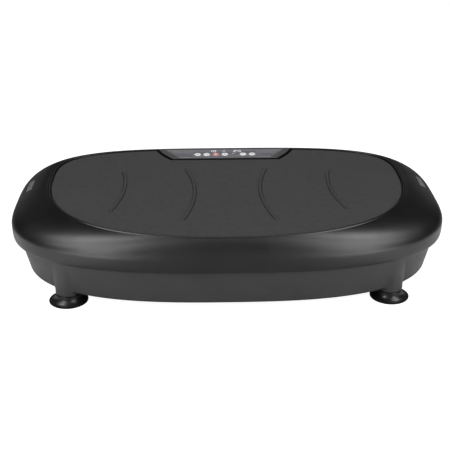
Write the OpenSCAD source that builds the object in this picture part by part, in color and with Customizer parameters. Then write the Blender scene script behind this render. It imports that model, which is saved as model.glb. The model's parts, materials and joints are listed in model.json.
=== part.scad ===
// Vibration plate: an oscillating exercise platform that rocks on a fore-and-aft
// pivot, driven by a motor, a ribbed belt and a crankshaft with two opposed
// eccentrics. +X is right, +Y is the console side, Z 0 is the floor.

/* [Body] */
// Overall width of the top cover
cover_w = 663; // [640:1:700]
// Overall depth of the top cover
cover_d = 385; // [375:1:400]
// Height of the rim round the mat above the floor
rim_z = 126; // [124:0.5:130]
// Height of the widest line of the cover
waist_z = 92; // [88:1:98]
// Height of the cover's lower edge
skirt_z = 73; // [70:1:78]
// Wall thickness of the cover and the base shell
wall = 3; // [2.5:0.1:3.5]

/* [Mat] */
// Half width of the mat
mat_a = 275; // [266:1:277]
// Distance from the centre to the mat's front edge
mat_front = 178; // [172:1:179]
// Distance from the centre to the mat's rear edge
mat_rear = 167.8; // [167:0.1:169]
// How far the middle of the mat stands above its edge
mat_crown = 2.5; // [1:0.5:4]
// Height of the raised arcs on the mat
rib_h = 1.2; // [0.6:0.1:2]
// Width of the raised arcs
rib_w = 4.5; // [3:0.5:7]

/* [Console] */
// Distance between key centres
key_pitch = 15.3; // [14.8:0.1:16]
// Radius of a key
key_r = 5.5; // [4:0.1:5.8]
// How far a key can be pressed
key_travel = 0.5; // [0.2:0.1:0.5]

/* [Feet] */
// Radius of a suction cup at the floor
cup_r = 29; // [26:0.5:32]
// Radius of a leg
leg_r = 18.5; // [17:0.5:20]
// Distance from the centre to the front legs along X
leg_x = 239; // [234:1:242]
// Distance from the centre to the front legs along Y
leg_front = 127.5; // [120:0.5:129]
// Distance from the centre to the rear legs along Y
leg_rear = 133; // [126:1:136]

/* [Drive] */
// Crank throw of each eccentric
throw = 2.5; // [1.5:0.1:2.5]
// Distance from the pivot to each connecting rod
rod_x = 134; // [130:1:140]
// Radius of the pulley on the crankshaft
big_pulley_r = 27; // [22:0.5:27]
// Radius of the pulley on the motor
small_pulley_r = 9; // [8:0.5:12]

/* [Hidden] */

// Outline quality: points round the big ovals, and facets of round parts
steps = 72;
$fn = 48;

// Oval exponents: the front half is bowed, the rear half is squarer
mat_nf = 2.4;
mat_nr = 3.45;
cover_nf = 2.75;
cover_nr = 3.8;
shoulder_n = 1.9;
base_nf = 2.7;
base_nr = 3.5;

// Distance of the mat's widest line behind the centre
mat_wide_y = 42;

// Heights of the stack on the platform
deck_top = rim_z - 4.5;
deck_t = 3.5;
deck_bot = deck_top - deck_t;
plate_t = 3;
plate_bot = deck_bot - plate_t;
mat_edge = deck_top + 3;
recess_gap = 2;
console_top = deck_top + 5.5;
lens_t = 1.5;
lens_bot = console_top - lens_t;

// Base shell
base_bot = 19;
base_top = 84;
base_foot_a = 308.5;
base_foot_b = 180;
base_head_a = 325;
base_head_b = 184.5;
floor_t = 3.5;
floor_top = base_bot + floor_t;
chassis_t = 3;
chassis_top = floor_top + chassis_t;

// Rocking pivot, crankshaft and motor axes
pivot_z = 92;
pivot_y = 142;
pivot_pin_r = 6;
crank_z = 54;
shaft_r = 8.5;
journal_r = 12.5;
rod_t = 14;
rod_pin_z = 92;
rod_pin_r = 4;
rod_eye_clear = 2 * throw + 0.4;
rod_eye_r = rod_pin_r + rod_eye_clear;
bush_t = 2.1;
block_x = 98;
block_t = 20;
pulley_x = 50;
pulley_t = 18;
motor_y = 84;
motor_z = 61.5;
motor_r = 33;
motor_shaft_r = 5;
bolt_r = 3;
run_fit = 0.04;

// Console trapezoid, front and rear half widths and its front edge
console_front_x = 87;
console_rear_x = 115;
console_front_y = 121;
lens_front_x = 76;
lens_rear_x = 101;
lens_front_y = 124;
lens_rear_y = 162.5;
key_y = 139.5;
digit_y = 154;

// Rear pocket that holds the mains inlet and the switch
pocket_x0 = 101;
pocket_x1 = 169;
pocket_z0 = 33;
pocket_z1 = 65;
pocket_y = 165;
pocket_z = (pocket_z0 + pocket_z1) / 2;
inlet_x = 119;
switch_x = 152;
rocker_tilt = 8;

// Colours
cover_col = [0.10, 0.10, 0.105];
base_col = [0.16, 0.16, 0.165];
mat_col = [0.20, 0.20, 0.205];
steel_col = [0.55, 0.57, 0.60];
zinc_col = [0.70, 0.71, 0.72];
rubber_col = [0.06, 0.06, 0.06];
bronze_col = [0.66, 0.50, 0.28];
board_col = [0.10, 0.32, 0.18];
key_col = [0.88, 0.88, 0.90];
console_col = [0.20, 0.20, 0.21];

// ---------------------------------------------------------------- outlines

// One ring of an oval at height z, reaching bf forwards and br back from the centre,
// with its widest line at yw and its own front and rear halves
function ring(a, bf, br, nf, nr, z, yw = 0) = [
    for (i = [0 : steps - 1])
        let (t = 360 * i / steps, c = cos(t), s = sin(t),
             b = s < 0 ? bf + yw : br - yw, n = s < 0 ? nf : nr,
             k = pow(pow(abs(c), n) + pow(abs(s), n), -1 / n))
        [a * c * k, yw + b * s * k, z]];

function flat(r) = [for (p = r) [p[0], p[1]]];

// A ring of the mat recess, grown outwards by d
function mat_ring(d, z) =
    ring(mat_a + d, mat_front + d, mat_rear + d, mat_nf, mat_nr, z, mat_wide_y);

// A ring of the cover's outer surface, w from 0 at the lip to 1 at the waist
lip_w = 8;
function cover_ring(w, d, z) =
    ring((mat_a + lip_w) * (1 - w) + cover_w / 2 * w - d,
         (mat_front + lip_w - 1) * (1 - w) + cover_d / 2 * w - d,
         (mat_rear + lip_w - 1) * (1 - w) + cover_d / 2 * w - d,
         mat_nf * (1 - w) + cover_nf * w, mat_nr * (1 - w) + cover_nr * w, z,
         mat_wide_y * (1 - w));

// The base shell's outer ring at height z, shrunk by d
function base_ring(z, d) = let (h = (z - base_bot) / (base_top - base_bot))
    ring(base_foot_a + (base_head_a - base_foot_a) * h - d,
         base_foot_b + (base_head_b - base_foot_b) * h - d,
         base_foot_b + (base_head_b - base_foot_b) * h - d - 3,
         base_nf, base_nr, z);

// Skins a list of equal rings and caps both ends
module loft(rings) {
    n = len(rings[0]);
    m = len(rings);
    sides = [for (i = [0 : m - 2], j = [0 : n - 1]) let (k = (j + 1) % n)
             each [[i * n + j, (i + 1) * n + j, (i + 1) * n + k],
                   [i * n + j, (i + 1) * n + k, i * n + k]]];
    start = [for (j = [0 : n - 1]) j];
    end = [for (j = [n - 1 : -1 : 0]) (m - 1) * n + j];
    polyhedron(points = [for (r = rings) each r],
               faces = concat([start], sides, [end]), convexity = 8);
}

// ---------------------------------------------------------------- helpers

module plate(w, d, t, r) {
    linear_extrude(t) {
        square([w - 2 * r, d], center = true);
        square([w, d - 2 * r], center = true);
        for (x = [-1, 1], y = [-1, 1])
            translate([x * (w / 2 - r), y * (d / 2 - r)]) circle(r);
    }
}

module box(lo, hi) {
    translate(lo) cube(hi - lo);
}

// Cylinder along X from x0 to x1, at y and z
module rod_along_x(x0, x1, y, z, r) {
    translate([x0, y, z]) rotate([0, 90, 0]) cylinder(r = r, h = x1 - x0);
}

// Cylinder along Y from y0 to y1, at x and z
module rod_along_y(y0, y1, x, z, r) {
    translate([x, y0, z]) rotate([-90, 0, 0]) cylinder(r = r, h = y1 - y0);
}

// Ring of revolution about an X axis, from a profile in [radius, distance along X]
module spin_x(x, y, z) {
    translate([x, y, z]) rotate([0, 90, 0]) rotate_extrude($fn = 64) children();
}

// Hex-head bolt standing on z, head up, shank of length len below
module bolt_down(r, len, head) {
    cylinder(r = head, h = r * 1.3, $fn = 6);
    translate([0, 0, -len]) cylinder(r = r, h = len);
}

// Pan-head screw with its head below z and its shank going up by len
module screw_up(r, len, head, head_t) {
    difference() {
        translate([0, 0, -head_t]) cylinder(r1 = head * 0.8, r2 = head, h = head_t);
        for (a = [0, 90]) rotate(a) translate([0, 0, -head_t])
            cube([head, head * 0.22, head_t], center = true);
    }
    cylinder(r = r, h = len);
}

// Points along a path whose corners are rounded by curves that start r from each corner
function soft_path(p, r) = let (n = len(p)) concat([p[0]],
    [for (i = [1 : n - 2])
        let (u = (p[i - 1] - p[i]) / norm(p[i - 1] - p[i]),
             v = (p[i + 1] - p[i]) / norm(p[i + 1] - p[i]))
        for (t = [0 : 0.25 : 1]) p[i] + u * r * pow(1 - t, 2) + v * r * pow(t, 2)],
    [p[n - 1]]);

// A cable of radius r with ten flats along a rounded path
module cable(points, r) {
    path = soft_path(points, 8);
    n = len(path);
    ends = [for (i = [0 : n - 1]) path[min(i + 1, n - 1)] - path[max(i - 1, 0)]];
    side = [for (v = ends) let (c = cross([0.31, 0.23, 0.92], v)) c / norm(c)];
    up = [for (i = [0 : n - 1]) let (c = cross(ends[i], side[i])) c / norm(c)];
    loft([for (i = [n - 1 : -1 : 0]) [for (a = [0 : 36 : 324])
        path[i] + r * (cos(a) * side[i] + sin(a) * up[i])]]);
}

// ---------------------------------------------------------------- platform

screw_spots = [for (x = [-180, -60, 60, 180], y = [-98, 98]) [x, y]];

module top_cover() {
    shoulder = [for (i = [0 : 7]) let (q = 90 * (1 - i / 7))
                [pow(sin(q), 2 / shoulder_n), pow(cos(q), 2 / shoulder_n)]];
    drop = rim_z - waist_z;
    inner = [for (i = [7 : -1 : 0]) let (s = shoulder[i])
             cover_ring(s[0], wall, waist_z - wall * s[1] + drop * s[1])];
    outer = [for (s = shoulder) cover_ring(s[0], 0, waist_z + drop * s[1])];
    rings = concat(
        [mat_ring(4, deck_bot), mat_ring(4, deck_bot + 2)],
        inner,
        [cover_ring(1, wall + 0.6, skirt_z + 1.5), cover_ring(1, wall - 0.2, skirt_z),
         cover_ring(1, 1.6, skirt_z + 0.6), cover_ring(1, 0.4, skirt_z + 4)],
        outer,
        [mat_ring(recess_gap + 0.8, rim_z - 0.3), mat_ring(recess_gap, rim_z - 1.2),
         mat_ring(recess_gap, deck_top)]);
    color(cover_col) difference() {
        union() {
            loft(rings);
            for (s = screw_spots)
                translate([s[0], s[1], plate_bot + 0.2]) cylinder(r = 5, h = 4);
        }
        translate([0, 0, deck_bot - 1]) linear_extrude(deck_top - deck_bot + 2)
            board_plan(2);
        for (s = screw_spots)
            translate([s[0], s[1], plate_bot]) cylinder(r = 2.05, h = 5.6);
    }
}

// Console outline with gently bowed sides, grown by d
module console_outline(d) {
    side = [for (i = [0 : 6]) let (u = i / 6)
            [console_front_x + (console_rear_x - console_front_x) * u
                + 4 * sin(180 * u) + d,
             console_front_y + (mat_rear + 8 - console_front_y) * u - d * (1 - u)]];
    polygon(concat(side, [for (i = [6 : -1 : 0]) [-side[i][0], side[i][1]]]));
}

// The display board in plan, kept under the console and grown by d
module board_plan(d) {
    intersection() {
        translate([-100 - d, 127 - d]) square([200 + 2 * d, 34 + 2 * d]);
        console_outline(d - 4);
    }
}

// The mat's solid up to a crown raised by lift
module mat_dome(lift) {
    shares = [1, 0.97, 0.85, 0.65, 0.4, 0.15];
    rings = [for (s = shares)
             [for (p = mat_ring(0, mat_edge + lift + mat_crown * (1 - s * s)))
              [p[0] * s, p[1] * s, p[2]]]];
    loft(concat([mat_ring(0, deck_top)], rings));
}

// One raised arc of radius r: its middle lies at x_mid, its centre at yc, and it runs
// from y0 to y1
module mat_arc(x_mid, r, yc, y0, y1) {
    first = asin((y0 - yc) / r);
    last = asin((y1 - yc) / r);
    angles = [for (i = [0 : 16]) first + (last - first) * i / 16];
    translate([x_mid + r, yc, deck_top]) linear_extrude(12) {
        polygon(concat(
            [for (i = [0 : 16]) (r + rib_w / 2) * [-cos(angles[i]), sin(angles[i])]],
            [for (i = [16 : -1 : 0]) (r - rib_w / 2) * [-cos(angles[i]), sin(angles[i])]]));
        for (a = [first, last]) translate(r * [-cos(a), sin(a)])
            circle(rib_w / 2, $fn = 24);
    }
}

module mat() {
    color(mat_col) difference() {
        union() {
            mat_dome(0);
            intersection() {
                mat_dome(rib_h);
                union() for (m = [0, 1]) mirror([m, 0, 0]) {
                    mat_arc(159, 286, 6, -87, 63);
                    mat_arc(50.5, 312, -21, -124, 70);
                }
            }
        }
        translate([0, 0, deck_top - 1]) linear_extrude(20) console_outline(3);
    }
}

module console_slice(t, inset) {
    linear_extrude(t) intersection() {
        polygon(flat(mat_ring(-inset, 0)));
        console_outline(-inset);
    }
}

module lens_outline(d) {
    polygon([[-lens_front_x - d, lens_front_y - d], [lens_front_x + d, lens_front_y - d],
             [lens_rear_x + d, lens_rear_y + d], [-lens_rear_x - d, lens_rear_y + d]]);
}

board_z = deck_bot + 0.5;
board_t = 1.6;
switch_h = 3;
board_spots = [[-84, 132], [84, 132], [-93.5, 150], [93.5, 150]];

// Keys sit at these places along the row; the window takes the fifth place
key_slots = [-3, -2, -1, 0, 2, 3];
window_slot = 1;

module console_housing() {
    color(console_col) translate([0, 0, deck_top]) difference() {
        console_slice(console_top - deck_top, 0);
        translate([0, 0, lens_bot - deck_top]) linear_extrude(5) lens_outline(0.2);
        translate([0, 0, -1]) linear_extrude(20) lens_outline(-2.5);
    }
    color(console_col) for (s = board_spots) translate([s[0], s[1], board_z + board_t])
        difference() {
            cylinder(r = 2.6, h = deck_top - board_z - board_t + 0.5);
            translate([0, 0, -1]) cylinder(r = 1, h = 3.5);
        }
}

module console_lens() {
    color([0.30, 0.30, 0.33]) translate([0, 0, lens_bot]) difference() {
        linear_extrude(lens_t) lens_outline(0);
        for (k = concat(key_slots, [window_slot]))
            translate([k * key_pitch, key_y, -1]) cylinder(r = key_r + 0.2, h = lens_t + 2);
    }
}

module display_board() {
    color(board_col) difference() {
        translate([0, 0, board_z]) linear_extrude(board_t) board_plan(0);
        for (s = board_spots) translate([s[0], s[1], board_z - 1])
            cylinder(r = 1.15, h = 4);
    }
}

module key_switches() {
    z = board_z + board_t;
    color([0.85, 0.85, 0.85]) for (k = key_slots) translate([k * key_pitch, key_y, z]) {
        translate([-3, -3, 0]) cube([6, 6, switch_h - 1]);
        cylinder(r = 1.7, h = switch_h, $fn = 24);
    }
}

module display_modules() {
    z = board_z + board_t;
    color([0.05, 0.05, 0.05]) for (x = [-21, 21])
        translate([x - 9, digit_y - 5, z]) cube([18, 10, lens_bot - z - 0.1]);
}

module ir_window() {
    color([0.12, 0.05, 0.07]) translate([window_slot * key_pitch, key_y, lens_bot - 1.2]) {
        cylinder(r = key_r + 0.15, h = console_top - lens_bot + 1.3);
        cylinder(r = key_r + 1.5, h = 1.1);
    }
}

// A round key: cap through the lens, flange under it, stem over its switch
module key(slot, col) {
    tip = board_z + board_t + switch_h + key_travel + 0.1;
    flange = lens_bot - 1;
    color(col) translate([slot * key_pitch, key_y, 0]) {
        translate([0, 0, flange]) cylinder(r = key_r + 1.4, h = 0.9);
        translate([0, 0, flange]) cylinder(r = key_r, h = console_top - flange);
        translate([0, 0, console_top]) cylinder(r1 = key_r, r2 = key_r - 0.6, h = 0.6);
        translate([0, 0, tip]) cylinder(r = 1.5, h = flange - tip + 0.2);
    }
}

module platform_plate() {
    color(zinc_col) difference() {
        translate([0, 0, plate_bot]) union() {
            plate(440, 236, plate_t, 30);
            plate(84, 318, plate_t, 10);
        }
        for (s = screw_spots)
            translate([s[0], s[1], plate_bot - 1]) cylinder(r = 5.4, h = 6);
        for (x = [-120, 0, 120], y = [-80, 0, 80])
            if (x == 0 || y != 0)
                translate([x, y, plate_bot - 1]) cylinder(r = 14, h = 6);
    }
}

rib_y = 52;
module platform_ribs() {
    color(zinc_col) for (y = [-rib_y, rib_y]) difference() {
        box([-205, y - 10, plate_bot - 16], [205, y + 10, plate_bot]);
        box([-206, y - 8, plate_bot - 14], [206, y + 8, plate_bot + 1]);
    }
}

// Hanger under the platform plate, bored for its bush; side -1 front, 1 rear
module pivot_hanger(side) {
    color(steel_col) difference() {
        union() {
            translate([0, side * pivot_y, plate_bot - 3]) plate(64, 28, 3, 5);
            rod_along_y(side * pivot_y - 13, side * pivot_y + 13, 0, pivot_z, 14);
            box([-14, side * pivot_y - 13, pivot_z],
                [14, side * pivot_y + 13, plate_bot - 2.5]);
        }
        rod_along_y(side * pivot_y - 14, side * pivot_y + 14, 0, pivot_z, 9);
    }
}

module pivot_bushes() {
    color(bronze_col) for (s = [-1, 1]) difference() {
        rod_along_y(s * pivot_y - 15, s * pivot_y + 15, 0, pivot_z, 9);
        rod_along_y(s * pivot_y - 16, s * pivot_y + 16, 0, pivot_z, pivot_pin_r + run_fit);
    }
}

// Clevis under the platform plate for a connecting rod's pin
module rod_bracket(side) {
    x = side * rod_x;
    color(steel_col) difference() {
        union() {
            translate([x, 0, plate_bot - 3]) plate(40, 48, 3, 5);
            for (e = [-12, 9]) {
                rod_along_x(x + e, x + e + 3, 0, rod_pin_z, 11);
                box([x + e, -11, rod_pin_z], [x + e + 3, 11, plate_bot - 2.5]);
            }
        }
        rod_along_x(x - 14, x + 14, 0, rod_pin_z, rod_pin_r);
    }
}

module rod_pins() {
    color(zinc_col) for (s = [-1, 1]) {
        rod_along_x(s * rod_x - 14, s * rod_x + 14, 0, rod_pin_z, rod_pin_r);
        for (e = [-14, 12])
            rod_along_x(s * rod_x + e, s * rod_x + e + 2, 0, rod_pin_z, rod_pin_r + 2.5);
    }
}

module platform_screws() {
    color(zinc_col) for (s = screw_spots) translate([s[0], s[1], plate_bot]) {
        difference() {
            translate([0, 0, -1.2]) cylinder(r = 8, h = 1.2);
            translate([0, 0, -2]) cylinder(r = 2, h = 3);
        }
        translate([0, 0, -1.2]) screw_up(2, 6, 4.2, 2.6);
    }
    color(zinc_col) for (s = board_spots)
        translate([s[0], s[1], board_z]) screw_up(1, 2.9, 2, 1.2);
}

// ---------------------------------------------------------------- base

legs = [[-leg_x, -leg_front], [leg_x, -leg_front], [-leg_x - 3, leg_rear],
        [leg_x + 3, leg_rear]];
leg_foot = 14;
leg_top = 66;
leg_seat = 20;
chassis_spots = [for (x = [-190, -70, 70, 190], y = [-125, 125]) [x, y]];

module base_outer() {
    loft([base_ring(base_bot, 6), base_ring(base_bot + 1.2, 2.2),
          base_ring(base_bot + 4, 0.2), base_ring(base_bot + 9, 0),
          base_ring(base_top, 0)]);
}

module base_inner() {
    loft([base_ring(floor_top, wall + 3), base_ring(floor_top + 4, wall),
          base_ring(base_top + 1, wall)]);
}

module base_shell() {
    color(base_col) difference() {
        union() {
            base_outer();
            for (p = legs) translate([p[0], p[1], leg_foot])
                cylinder(r = leg_r, h = leg_top - leg_foot);
        }
        difference() {
            base_inner();
            for (p = legs) translate([p[0], p[1], base_bot]) difference() {
                cylinder(r = leg_r, h = leg_top - base_bot);
                translate([0, 0, leg_seat]) cylinder(r = leg_r - wall, h = leg_top);
            }
            box([pocket_x0 - wall, pocket_y - wall, pocket_z0 - wall],
                [pocket_x1 + wall, pocket_y + 30, pocket_z1 + wall]);
        }
        box([pocket_x0, pocket_y, pocket_z0], [pocket_x1, pocket_y + 40, pocket_z1]);
        box([inlet_x - 14, pocket_y - 5, pocket_z - 10.5],
            [inlet_x + 14, pocket_y + 1, pocket_z + 10.5]);
        box([switch_x - 8, pocket_y - 5, pocket_z - 11.5],
            [switch_x + 8, pocket_y + 1, pocket_z + 11.5]);
        for (p = legs) translate([p[0], p[1], leg_foot - 1])
            cylinder(r = 2.55, h = base_bot + leg_seat - leg_foot + 2);
        for (p = chassis_spots) translate([p[0], p[1], base_bot - 1])
            cylinder(r = 2.6, h = 8);
    }
}

// Suction cup: a flared rubber bell round a screw seat
module suction_cup() {
    neck_r = leg_r - 0.3;
    shoulder_z = 1.8;
    bell_h = 9;
    flare = [for (q = [0 : 10 : 90]) [neck_r + (cup_r - neck_r) * (1 - sin(q)),
                                      shoulder_z + bell_h * (1 - cos(q))]];
    under = [for (q = [90 : -10 : 0]) [15 + (cup_r - 19) * (1 - sin(q)), 7.5 * (1 - cos(q))]];
    difference() {
        rotate_extrude($fn = 64) polygon(concat(
            [[0, leg_foot], [neck_r - 0.9, leg_foot], [neck_r - 0.9, 12.4],
             [neck_r, 12], [neck_r, shoulder_z + bell_h]],
            [for (i = [len(flare) - 1 : -1 : 0]) flare[i]],
            [[cup_r, 1.2], [cup_r - 0.4, 0]],
            [for (i = [len(under) - 1 : -1 : 0]) under[i]],
            [[0, 7.5]]));
        translate([0, 0, -1]) cylinder(r = 2.55, h = 20);
    }
}

module suction_cups() {
    color(rubber_col) for (p = legs) translate([p[0], p[1], 0]) suction_cup();
}

module foot_screws() {
    color(zinc_col) for (p = legs) translate([p[0], p[1], 7.5]) screw_up(2.5, 24, 6, 3);
}

module chassis_screws() {
    color(zinc_col) for (p = chassis_spots)
        translate([p[0], p[1], base_bot]) screw_up(2.5, 10, 5.5, 2.6);
}

foot_bolts = concat(
    [for (s = [-1, 1], x = [-27, 27], y = [-14, 14]) [x, s * pivot_y + y, 4]],
    [for (x = [-block_x, block_x], y = [-40, 40]) [x, y, 12]],
    [for (x = [-10, 10], y = [-27, 27]) [x - 4, motor_y + y, 2.5]]);

module chassis_plate() {
    color(steel_col) difference() {
        translate([0, 0, floor_top]) union() {
            plate(424, 272, chassis_t, 30);
            plate(130, 330, chassis_t, 12);
        }
        for (p = chassis_spots) translate([p[0], p[1], floor_top - 1])
            cylinder(r = 2.55, h = 6);
        for (b = foot_bolts) translate([b[0], b[1], floor_top - 1])
            cylinder(r = bolt_r, h = 6);
        for (x = [-160, 160], y = [-70, 0]) translate([x, y, floor_top - 1])
            cylinder(r = 15, h = 6);
        box([pulley_x - 14, -20, floor_top - 1], [pulley_x + 14, 20, chassis_top + 1]);
    }
}

module bracket_bolts() {
    color(zinc_col) for (b = foot_bolts) translate([b[0], b[1], chassis_top + b[2]])
        bolt_down(bolt_r, b[2] + chassis_t, 5.5);
}

// Two-eared stand on the chassis that carries a pivot pin
module pivot_pedestal(side) {
    y0 = side * pivot_y;
    color(steel_col) difference() {
        union() {
            translate([0, y0, chassis_top]) plate(72, 42, 4, 5);
            for (e = [-21, 17]) {
                rod_along_y(y0 + e, y0 + e + 4, 0, pivot_z, 14);
                translate([0, y0 + e + 4, 0]) rotate([90, 0, 0]) linear_extrude(4)
                    polygon([[-20, chassis_top + 3], [20, chassis_top + 3],
                             [13.9, pivot_z - 1], [-13.9, pivot_z - 1]]);
            }
        }
        rod_along_y(y0 - 22, y0 + 22, 0, pivot_z, pivot_pin_r);
        for (x = [-27, 27], y = [-14, 14]) translate([x, y0 + y, chassis_top - 1])
            cylinder(r = bolt_r, h = 6);
    }
}

module pivot_pins() {
    color(zinc_col) for (s = [-1, 1]) {
        y0 = s * pivot_y;
        difference() {
            rod_along_y(y0 - 23, y0 + 23, 0, pivot_z, pivot_pin_r);
            for (e = [-23, 22]) rod_along_y(y0 + e, y0 + e + 1, 0, pivot_z, 2);
        }
        rod_along_y(y0 - 23, y0 - 21, 0, pivot_z, pivot_pin_r + 2.5);
        rod_along_y(y0 + 21, y0 + 22.5, 0, pivot_z, pivot_pin_r + 2);
    }
}

main_od = 20;
module pillow_block(side) {
    x0 = side * block_x - block_t / 2;
    color([0.30, 0.36, 0.42]) difference() {
        union() {
            rod_along_x(x0, x0 + block_t, 0, crank_z, main_od + 6);
            box([x0, -52, chassis_top], [x0 + block_t, 52, chassis_top + 12]);
            translate([x0, 0, 0]) rotate([90, 0, 90]) linear_extrude(block_t)
                polygon([[-33, chassis_top + 11], [33, chassis_top + 11],
                         [24.5, crank_z + 8], [-24.5, crank_z + 8]]);
        }
        rod_along_x(x0 - 1, x0 + block_t + 1, 0, crank_z, main_od);
        for (y = [-40, 40]) translate([side * block_x, y, chassis_top - 1])
            cylinder(r = bolt_r, h = 20);
    }
}

// Profile of one bearing race from radius r0 to r1, grooved at ball circle rc
module race(r0, r1, width, rc, ball) {
    difference() {
        translate([r0, -width / 2]) square([r1 - r0, width]);
        translate([rc, 0]) circle(ball + 0.1, $fn = 32);
    }
}

main_ball = 3.2;
main_circle = 14.2;
rod_ball = 1.9;
rod_circle = 15.6;
rod_od = 18.7;

module ball_ring(x, y, z, rc, ball, count) {
    for (i = [0 : count - 1]) translate([x, y, z])
        rotate([360 * i / count, 0, 0]) translate([0, 0, rc]) sphere(ball, $fn = 24);
}

module main_bearing_outers() {
    color(steel_col) for (s = [-1, 1]) {
        spin_x(s * block_x, 0, crank_z) race(16.4, main_od, 12, main_circle, main_ball);
        ball_ring(s * block_x, 0, crank_z, main_circle, main_ball, 8);
    }
}

// ---------------------------------------------------------------- motor

motor_x0 = -88;
motor_x1 = 12;
module motor_can() {
    color([0.12, 0.12, 0.13]) difference() {
        rod_along_x(motor_x0, motor_x1, motor_y, motor_z, motor_r);
        rod_along_x(motor_x0 - 1, motor_x1 + 1, motor_y, motor_z, motor_r - 2.5);
    }
}

module motor_end_bells() {
    color(zinc_col) difference() {
        union() {
            rod_along_x(motor_x1, motor_x1 + 8, motor_y, motor_z, motor_r);
            rod_along_x(motor_x1 + 7, motor_x1 + 12, motor_y, motor_z, 11);
            rod_along_x(motor_x0 - 9, motor_x0, motor_y, motor_z, motor_r);
        }
        rod_along_x(motor_x0 - 10, motor_x1 + 20, motor_y, motor_z,
                    motor_shaft_r + run_fit);
        for (a = [0 : 60 : 300]) translate([motor_x0 - 10, motor_y, motor_z])
            rotate([a, 0, 0]) translate([0, 0, 20]) rotate([0, 90, 0])
                cylinder(r = 5, h = 11);
    }
}

module motor_magnets() {
    color([0.20, 0.20, 0.22]) difference() {
        rod_along_x(-74, 0, motor_y, motor_z, motor_r - 2.5);
        rod_along_x(-75, 1, motor_y, motor_z, motor_r - 8);
        for (s = [-1, 1]) translate([-76, motor_y + s * 26 - 14, motor_z - 10])
            cube([78, 28, 20]);
    }
}

commutator_r = 11;
// Carbon brushes held radially between the can and the commutator
module motor_brushes() {
    inner = commutator_r + 0.08;
    outer = motor_r - 2.8;
    color([0.16, 0.16, 0.16]) for (s = [-1, 1])
        translate([-79, motor_y, motor_z + s * (inner + outer) / 2])
            cube([7, 5, outer - inner], center = true);
}

module motor_armature() {
    color([0.52, 0.40, 0.28]) difference() {
        union() {
            rod_along_x(-70, -6, motor_y, motor_z, 24);
            rod_along_x(-84, -74, motor_y, motor_z, commutator_r);
        }
        rod_along_x(-90, 10, motor_y, motor_z, motor_shaft_r);
        for (a = [0 : 30 : 330]) translate([-71, motor_y, motor_z])
            rotate([a, 0, 0]) translate([0, -1.5, 17]) cube([66, 3, 8]);
    }
}

module motor_shaft() {
    color(steel_col) rod_along_x(-100, pulley_x + pulley_t / 2 + 2, motor_y, motor_z,
                                 motor_shaft_r);
}

module motor_bracket() {
    color(steel_col) difference() {
        union() {
            box([20, motor_y - 34, chassis_top], [23, motor_y + 33, motor_z + 30]);
            box([-20, motor_y - 34, chassis_top], [23, motor_y + 33, chassis_top + 2.5]);
        }
        rod_along_x(19, 25, motor_y, motor_z, 11.2);
        for (x = [-10, 10], y = [-27, 27]) translate([x - 4, motor_y + y, chassis_top - 1])
            cylinder(r = bolt_r, h = 6);
    }
}

// ---------------------------------------------------------------- belt drive

rib_pitch = 3;
rib_count = 4;
rib_depth = 1.4;

// Pulley with rectangular belt grooves, bored to bore_r
module pulley(y, z, r, bore_r) {
    x0 = pulley_x - pulley_t / 2;
    difference() {
        union() {
            rod_along_x(x0, x0 + pulley_t, y, z, r);
            for (e = [0, pulley_t - 1.2]) rod_along_x(x0 + e, x0 + e + 1.2, y, z, r + 2.2);
        }
        rod_along_x(x0 - 1, x0 + pulley_t + 1, y, z, bore_r);
        for (i = [0 : rib_count - 1]) {
            x = pulley_x + (i - (rib_count - 1) / 2) * rib_pitch;
            difference() {
                rod_along_x(x - 0.9, x + 0.9, y, z, r + 1);
                rod_along_x(x - 1, x + 1, y, z, r - rib_depth);
            }
        }
    }
}

belt_angle = atan2(motor_z - crank_z, motor_y);
belt_span = norm([motor_y, motor_z - crank_z]);

// Outline of a loop round both pulleys, at distance d outside their faces
module belt_loop(d) {
    r0 = big_pulley_r + d;
    r1 = small_pulley_r + d;
    lean = asin((r0 - r1) / belt_span);
    wrap = 90 - lean;
    polygon(concat(
        [for (i = [0 : 36]) let (a = wrap + i * (360 - 2 * wrap) / 36)
            r0 * [cos(a), sin(a)]],
        [for (i = [0 : 20]) let (a = -wrap + i * 2 * wrap / 20)
            [belt_span, 0] + r1 * [cos(a), sin(a)]]));
}

// A slice of the belt from x to x + t, between two offsets from the pulley faces
module belt_slab(x, t, inner, outer) {
    translate([x, 0, crank_z]) rotate([90, 0, 90]) rotate([0, 0, belt_angle])
        linear_extrude(t) difference() {
            belt_loop(outer);
            belt_loop(inner);
        }
}

module drive_belt() {
    clear = 0.06;
    width = (rib_count - 1) * rib_pitch + 3;
    color(rubber_col) union() {
        belt_slab(pulley_x - width / 2, width, clear, 2.2);
        for (i = [0 : rib_count - 1])
            belt_slab(pulley_x + (i - (rib_count - 1) / 2) * rib_pitch - 0.8, 1.6,
                      -rib_depth + 0.1, clear + 0.5);
    }
}

// ---------------------------------------------------------------- crankshaft

journal_t = rod_t + 2;
// Each eccentric leans to its own side, half a turn apart
function journal_y(side) = side < 0 ? throw : -throw;

module crankshaft() {
    color(steel_col) {
        rod_along_x(-rod_x, rod_x, 0, crank_z, shaft_r);
        for (s = [-1, 1]) {
            rod_along_x(s * rod_x - journal_t / 2, s * rod_x + journal_t / 2,
                        journal_y(s), crank_z, journal_r);
            rod_along_x(s * (rod_x - 13) - 4, s * (rod_x - 13) + 4, 0, crank_z, 10.4);
            rod_along_x(s * (rod_x + 9.5) - 1.5, s * (rod_x + 9.5) + 1.5, journal_y(s),
                        crank_z, 14);
        }
    }
}

module bearing_inners() {
    color(zinc_col) for (s = [-1, 1]) {
        spin_x(s * block_x, 0, crank_z) race(shaft_r, 12, 12, main_circle, main_ball);
        spin_x(s * rod_x, journal_y(s), crank_z)
            race(journal_r, 14.7, 12, rod_circle, rod_ball);
    }
}

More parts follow.
